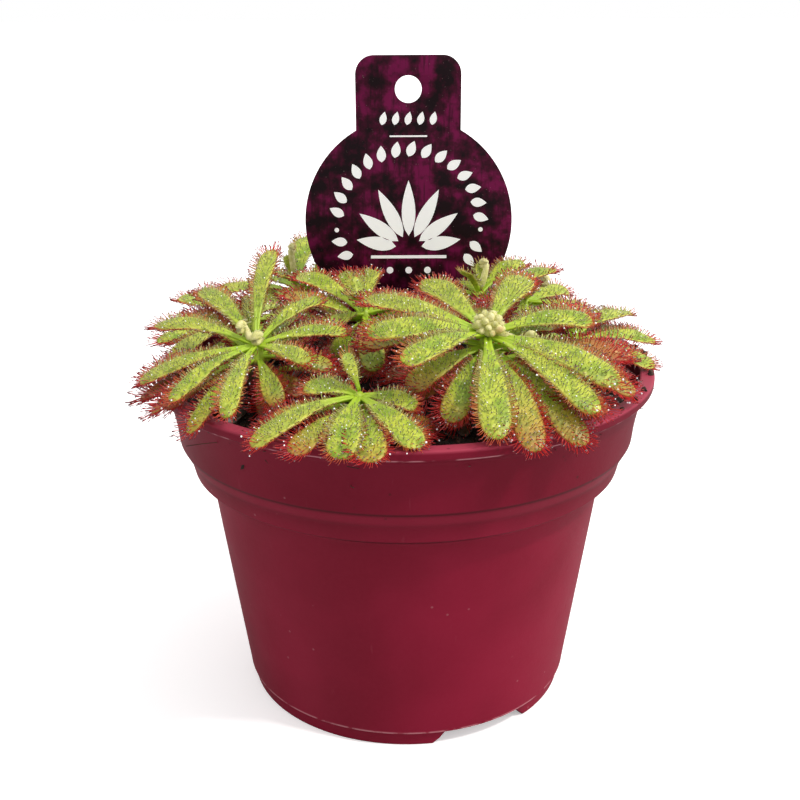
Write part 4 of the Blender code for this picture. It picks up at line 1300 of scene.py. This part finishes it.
# Scapes: young flower stalks, each still coiled up in a bud like a fern's crook, with fine wool on it. One of
# the big rosette's two is a woolly head of many small buds.
WOOLLY_FROM, WOOLLY_BUDS, BUD_SIZES = 0.003, 26, (0.24, 0.36)
HEAD_CORE, BUDS_AT, HEAD_COVERED = 0.72, 0.70, 1.55
WOOL_DENSITY, WOOL_LENGTH, WOOL_RADIUS = 2.2e6, 0.0007, 0.00005
STALK_WIDTH, STALK_SAG = 0.0009, 0.0012
CROOK_STEPS, CROOK_TURNS, CROOK_REACH, CROOK_WIDTH = 21, 3.3, (0.62, 0.16), (0.38, 0.30)
TUBE_SIDES = 12


def bud_colours(place):
    """Cream to straw yellow, tinged with red."""
    colour = over(grain(place, 700.0).between(0.38, 0.62), (0.62, 0.60, 0.20), (0.84, 0.78, 0.38))
    colour = over(grain(place, 260.0).between(0.56, 0.70) * 0.5, colour, (0.60, 0.26, 0.09))
    return {"Base Color": colour, "Roughness": 0.6, "Normal": bumps(grain(place, 1800.0), 0.5, 0.0004)}


def tube(shape, points, radii):
    """A closed round tube along points, with a width at each."""
    rings = []
    for k, (point, radius) in enumerate(zip(points, radii)):
        along = (points[min(k + 1, len(points) - 1)] - points[max(k - 1, 0)]).normalized()
        turn = along.to_track_quat("Z", "Y").to_matrix()
        ring = []
        for step in range(TUBE_SIDES):
            angle = 2 * math.pi * step / TUBE_SIDES
            out = turn @ Vector((math.cos(angle), math.sin(angle), 0))
            ring.append(shape.verts.new(point + out * radius))
        rings.append(ring)
    for ring, after in zip(rings, rings[1:]):
        for k in range(TUBE_SIDES):
            next_k = (k + 1) % TUBE_SIDES
            shape.faces.new((ring[k], ring[next_k], after[next_k], after[k]))
    shape.faces.new(rings[0][::-1])
    shape.faces.new(rings[-1])


def crook(shape, place, across, radius, foot):
    """A stalk that rises from the crown and coils in on itself, in an upright plane along across."""
    up = Vector((0, 0, 1))
    points = [foot, foot.lerp(place - across * radius * 0.55, 0.6) + Vector((0, 0, -STALK_SAG))]
    radii = [STALK_WIDTH, STALK_WIDTH]
    for step in range(CROOK_STEPS + 1):
        share = step / CROOK_STEPS
        turn = math.pi - share * CROOK_TURNS * math.pi
        reach = radius * mix(*CROOK_REACH, share)
        points.append(place + (across * math.cos(turn) + up * math.sin(turn)) * reach)
        radii.append(radius * mix(*CROOK_WIDTH, share) * (1.0 if step < CROOK_STEPS else 0.5))
    tube(shape, points, radii)


def woolly_head(shape, place, radius, draw):
    """A ball of small buds pressed together round a core."""
    middle = Matrix.Translation(place)
    bmesh.ops.create_icosphere(shape, subdivisions=2, radius=radius * HEAD_CORE, matrix=middle)
    for index in range(WOOLLY_BUDS):
        height = 1 - HEAD_COVERED * (index + 0.5) / WOOLLY_BUDS
        turn = math.radians(GOLDEN_ANGLE * index)
        flat = math.sqrt(1 - height * height)
        way = Vector((flat * math.cos(turn), flat * math.sin(turn), height))
        size = radius * draw.uniform(*BUD_SIZES)
        stretch = way.to_track_quat("Z", "Y").to_matrix().to_4x4() @ Matrix.Diagonal((0.85, 0.85, 1.25, 1.0))
        spot = Matrix.Translation(place + way * radius * BUDS_AT) @ stretch
        bmesh.ops.create_icosphere(shape, subdivisions=2, radius=size, matrix=spot)


bud_finish = finish("scape", bud_colours)
wool_finish = finish("wool", lambda place: {"Base Color": (0.70, 0.68, 0.42, 1.0), "Roughness": 0.5})
wool_values = dict(
    Count=WOOL_DENSITY, Length=WOOL_LENGTH, Thickness=WOOL_RADIUS, Seed=5, Material=wool_finish
)
for name, rosette in ROSETTES.items():
    if not rosette["scapes"]:
        continue
    draw = random.Random(rosette["seed"] + 300)
    shape = bmesh.new()
    for *step, radius in rosette["scapes"]:
        crown = Vector(rosette["crown"])
        place = crown + rosette_axes(rosette) @ Vector(step)
        if radius > WOOLLY_FROM:
            woolly_head(shape, place, radius, draw)
        else:
            turn = draw.uniform(0, 6.28)
            crook(shape, place, Vector((math.cos(turn), math.sin(turn), 0)), radius, crown)
    buds = object_of("scapes_" + name, mesh_of(shape, "scapes_" + name), bud_finish)
    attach(buds, "root")
    wool = grown("wool_" + name, buds, fibre_tree, **wool_values)
    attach(wool, "root")
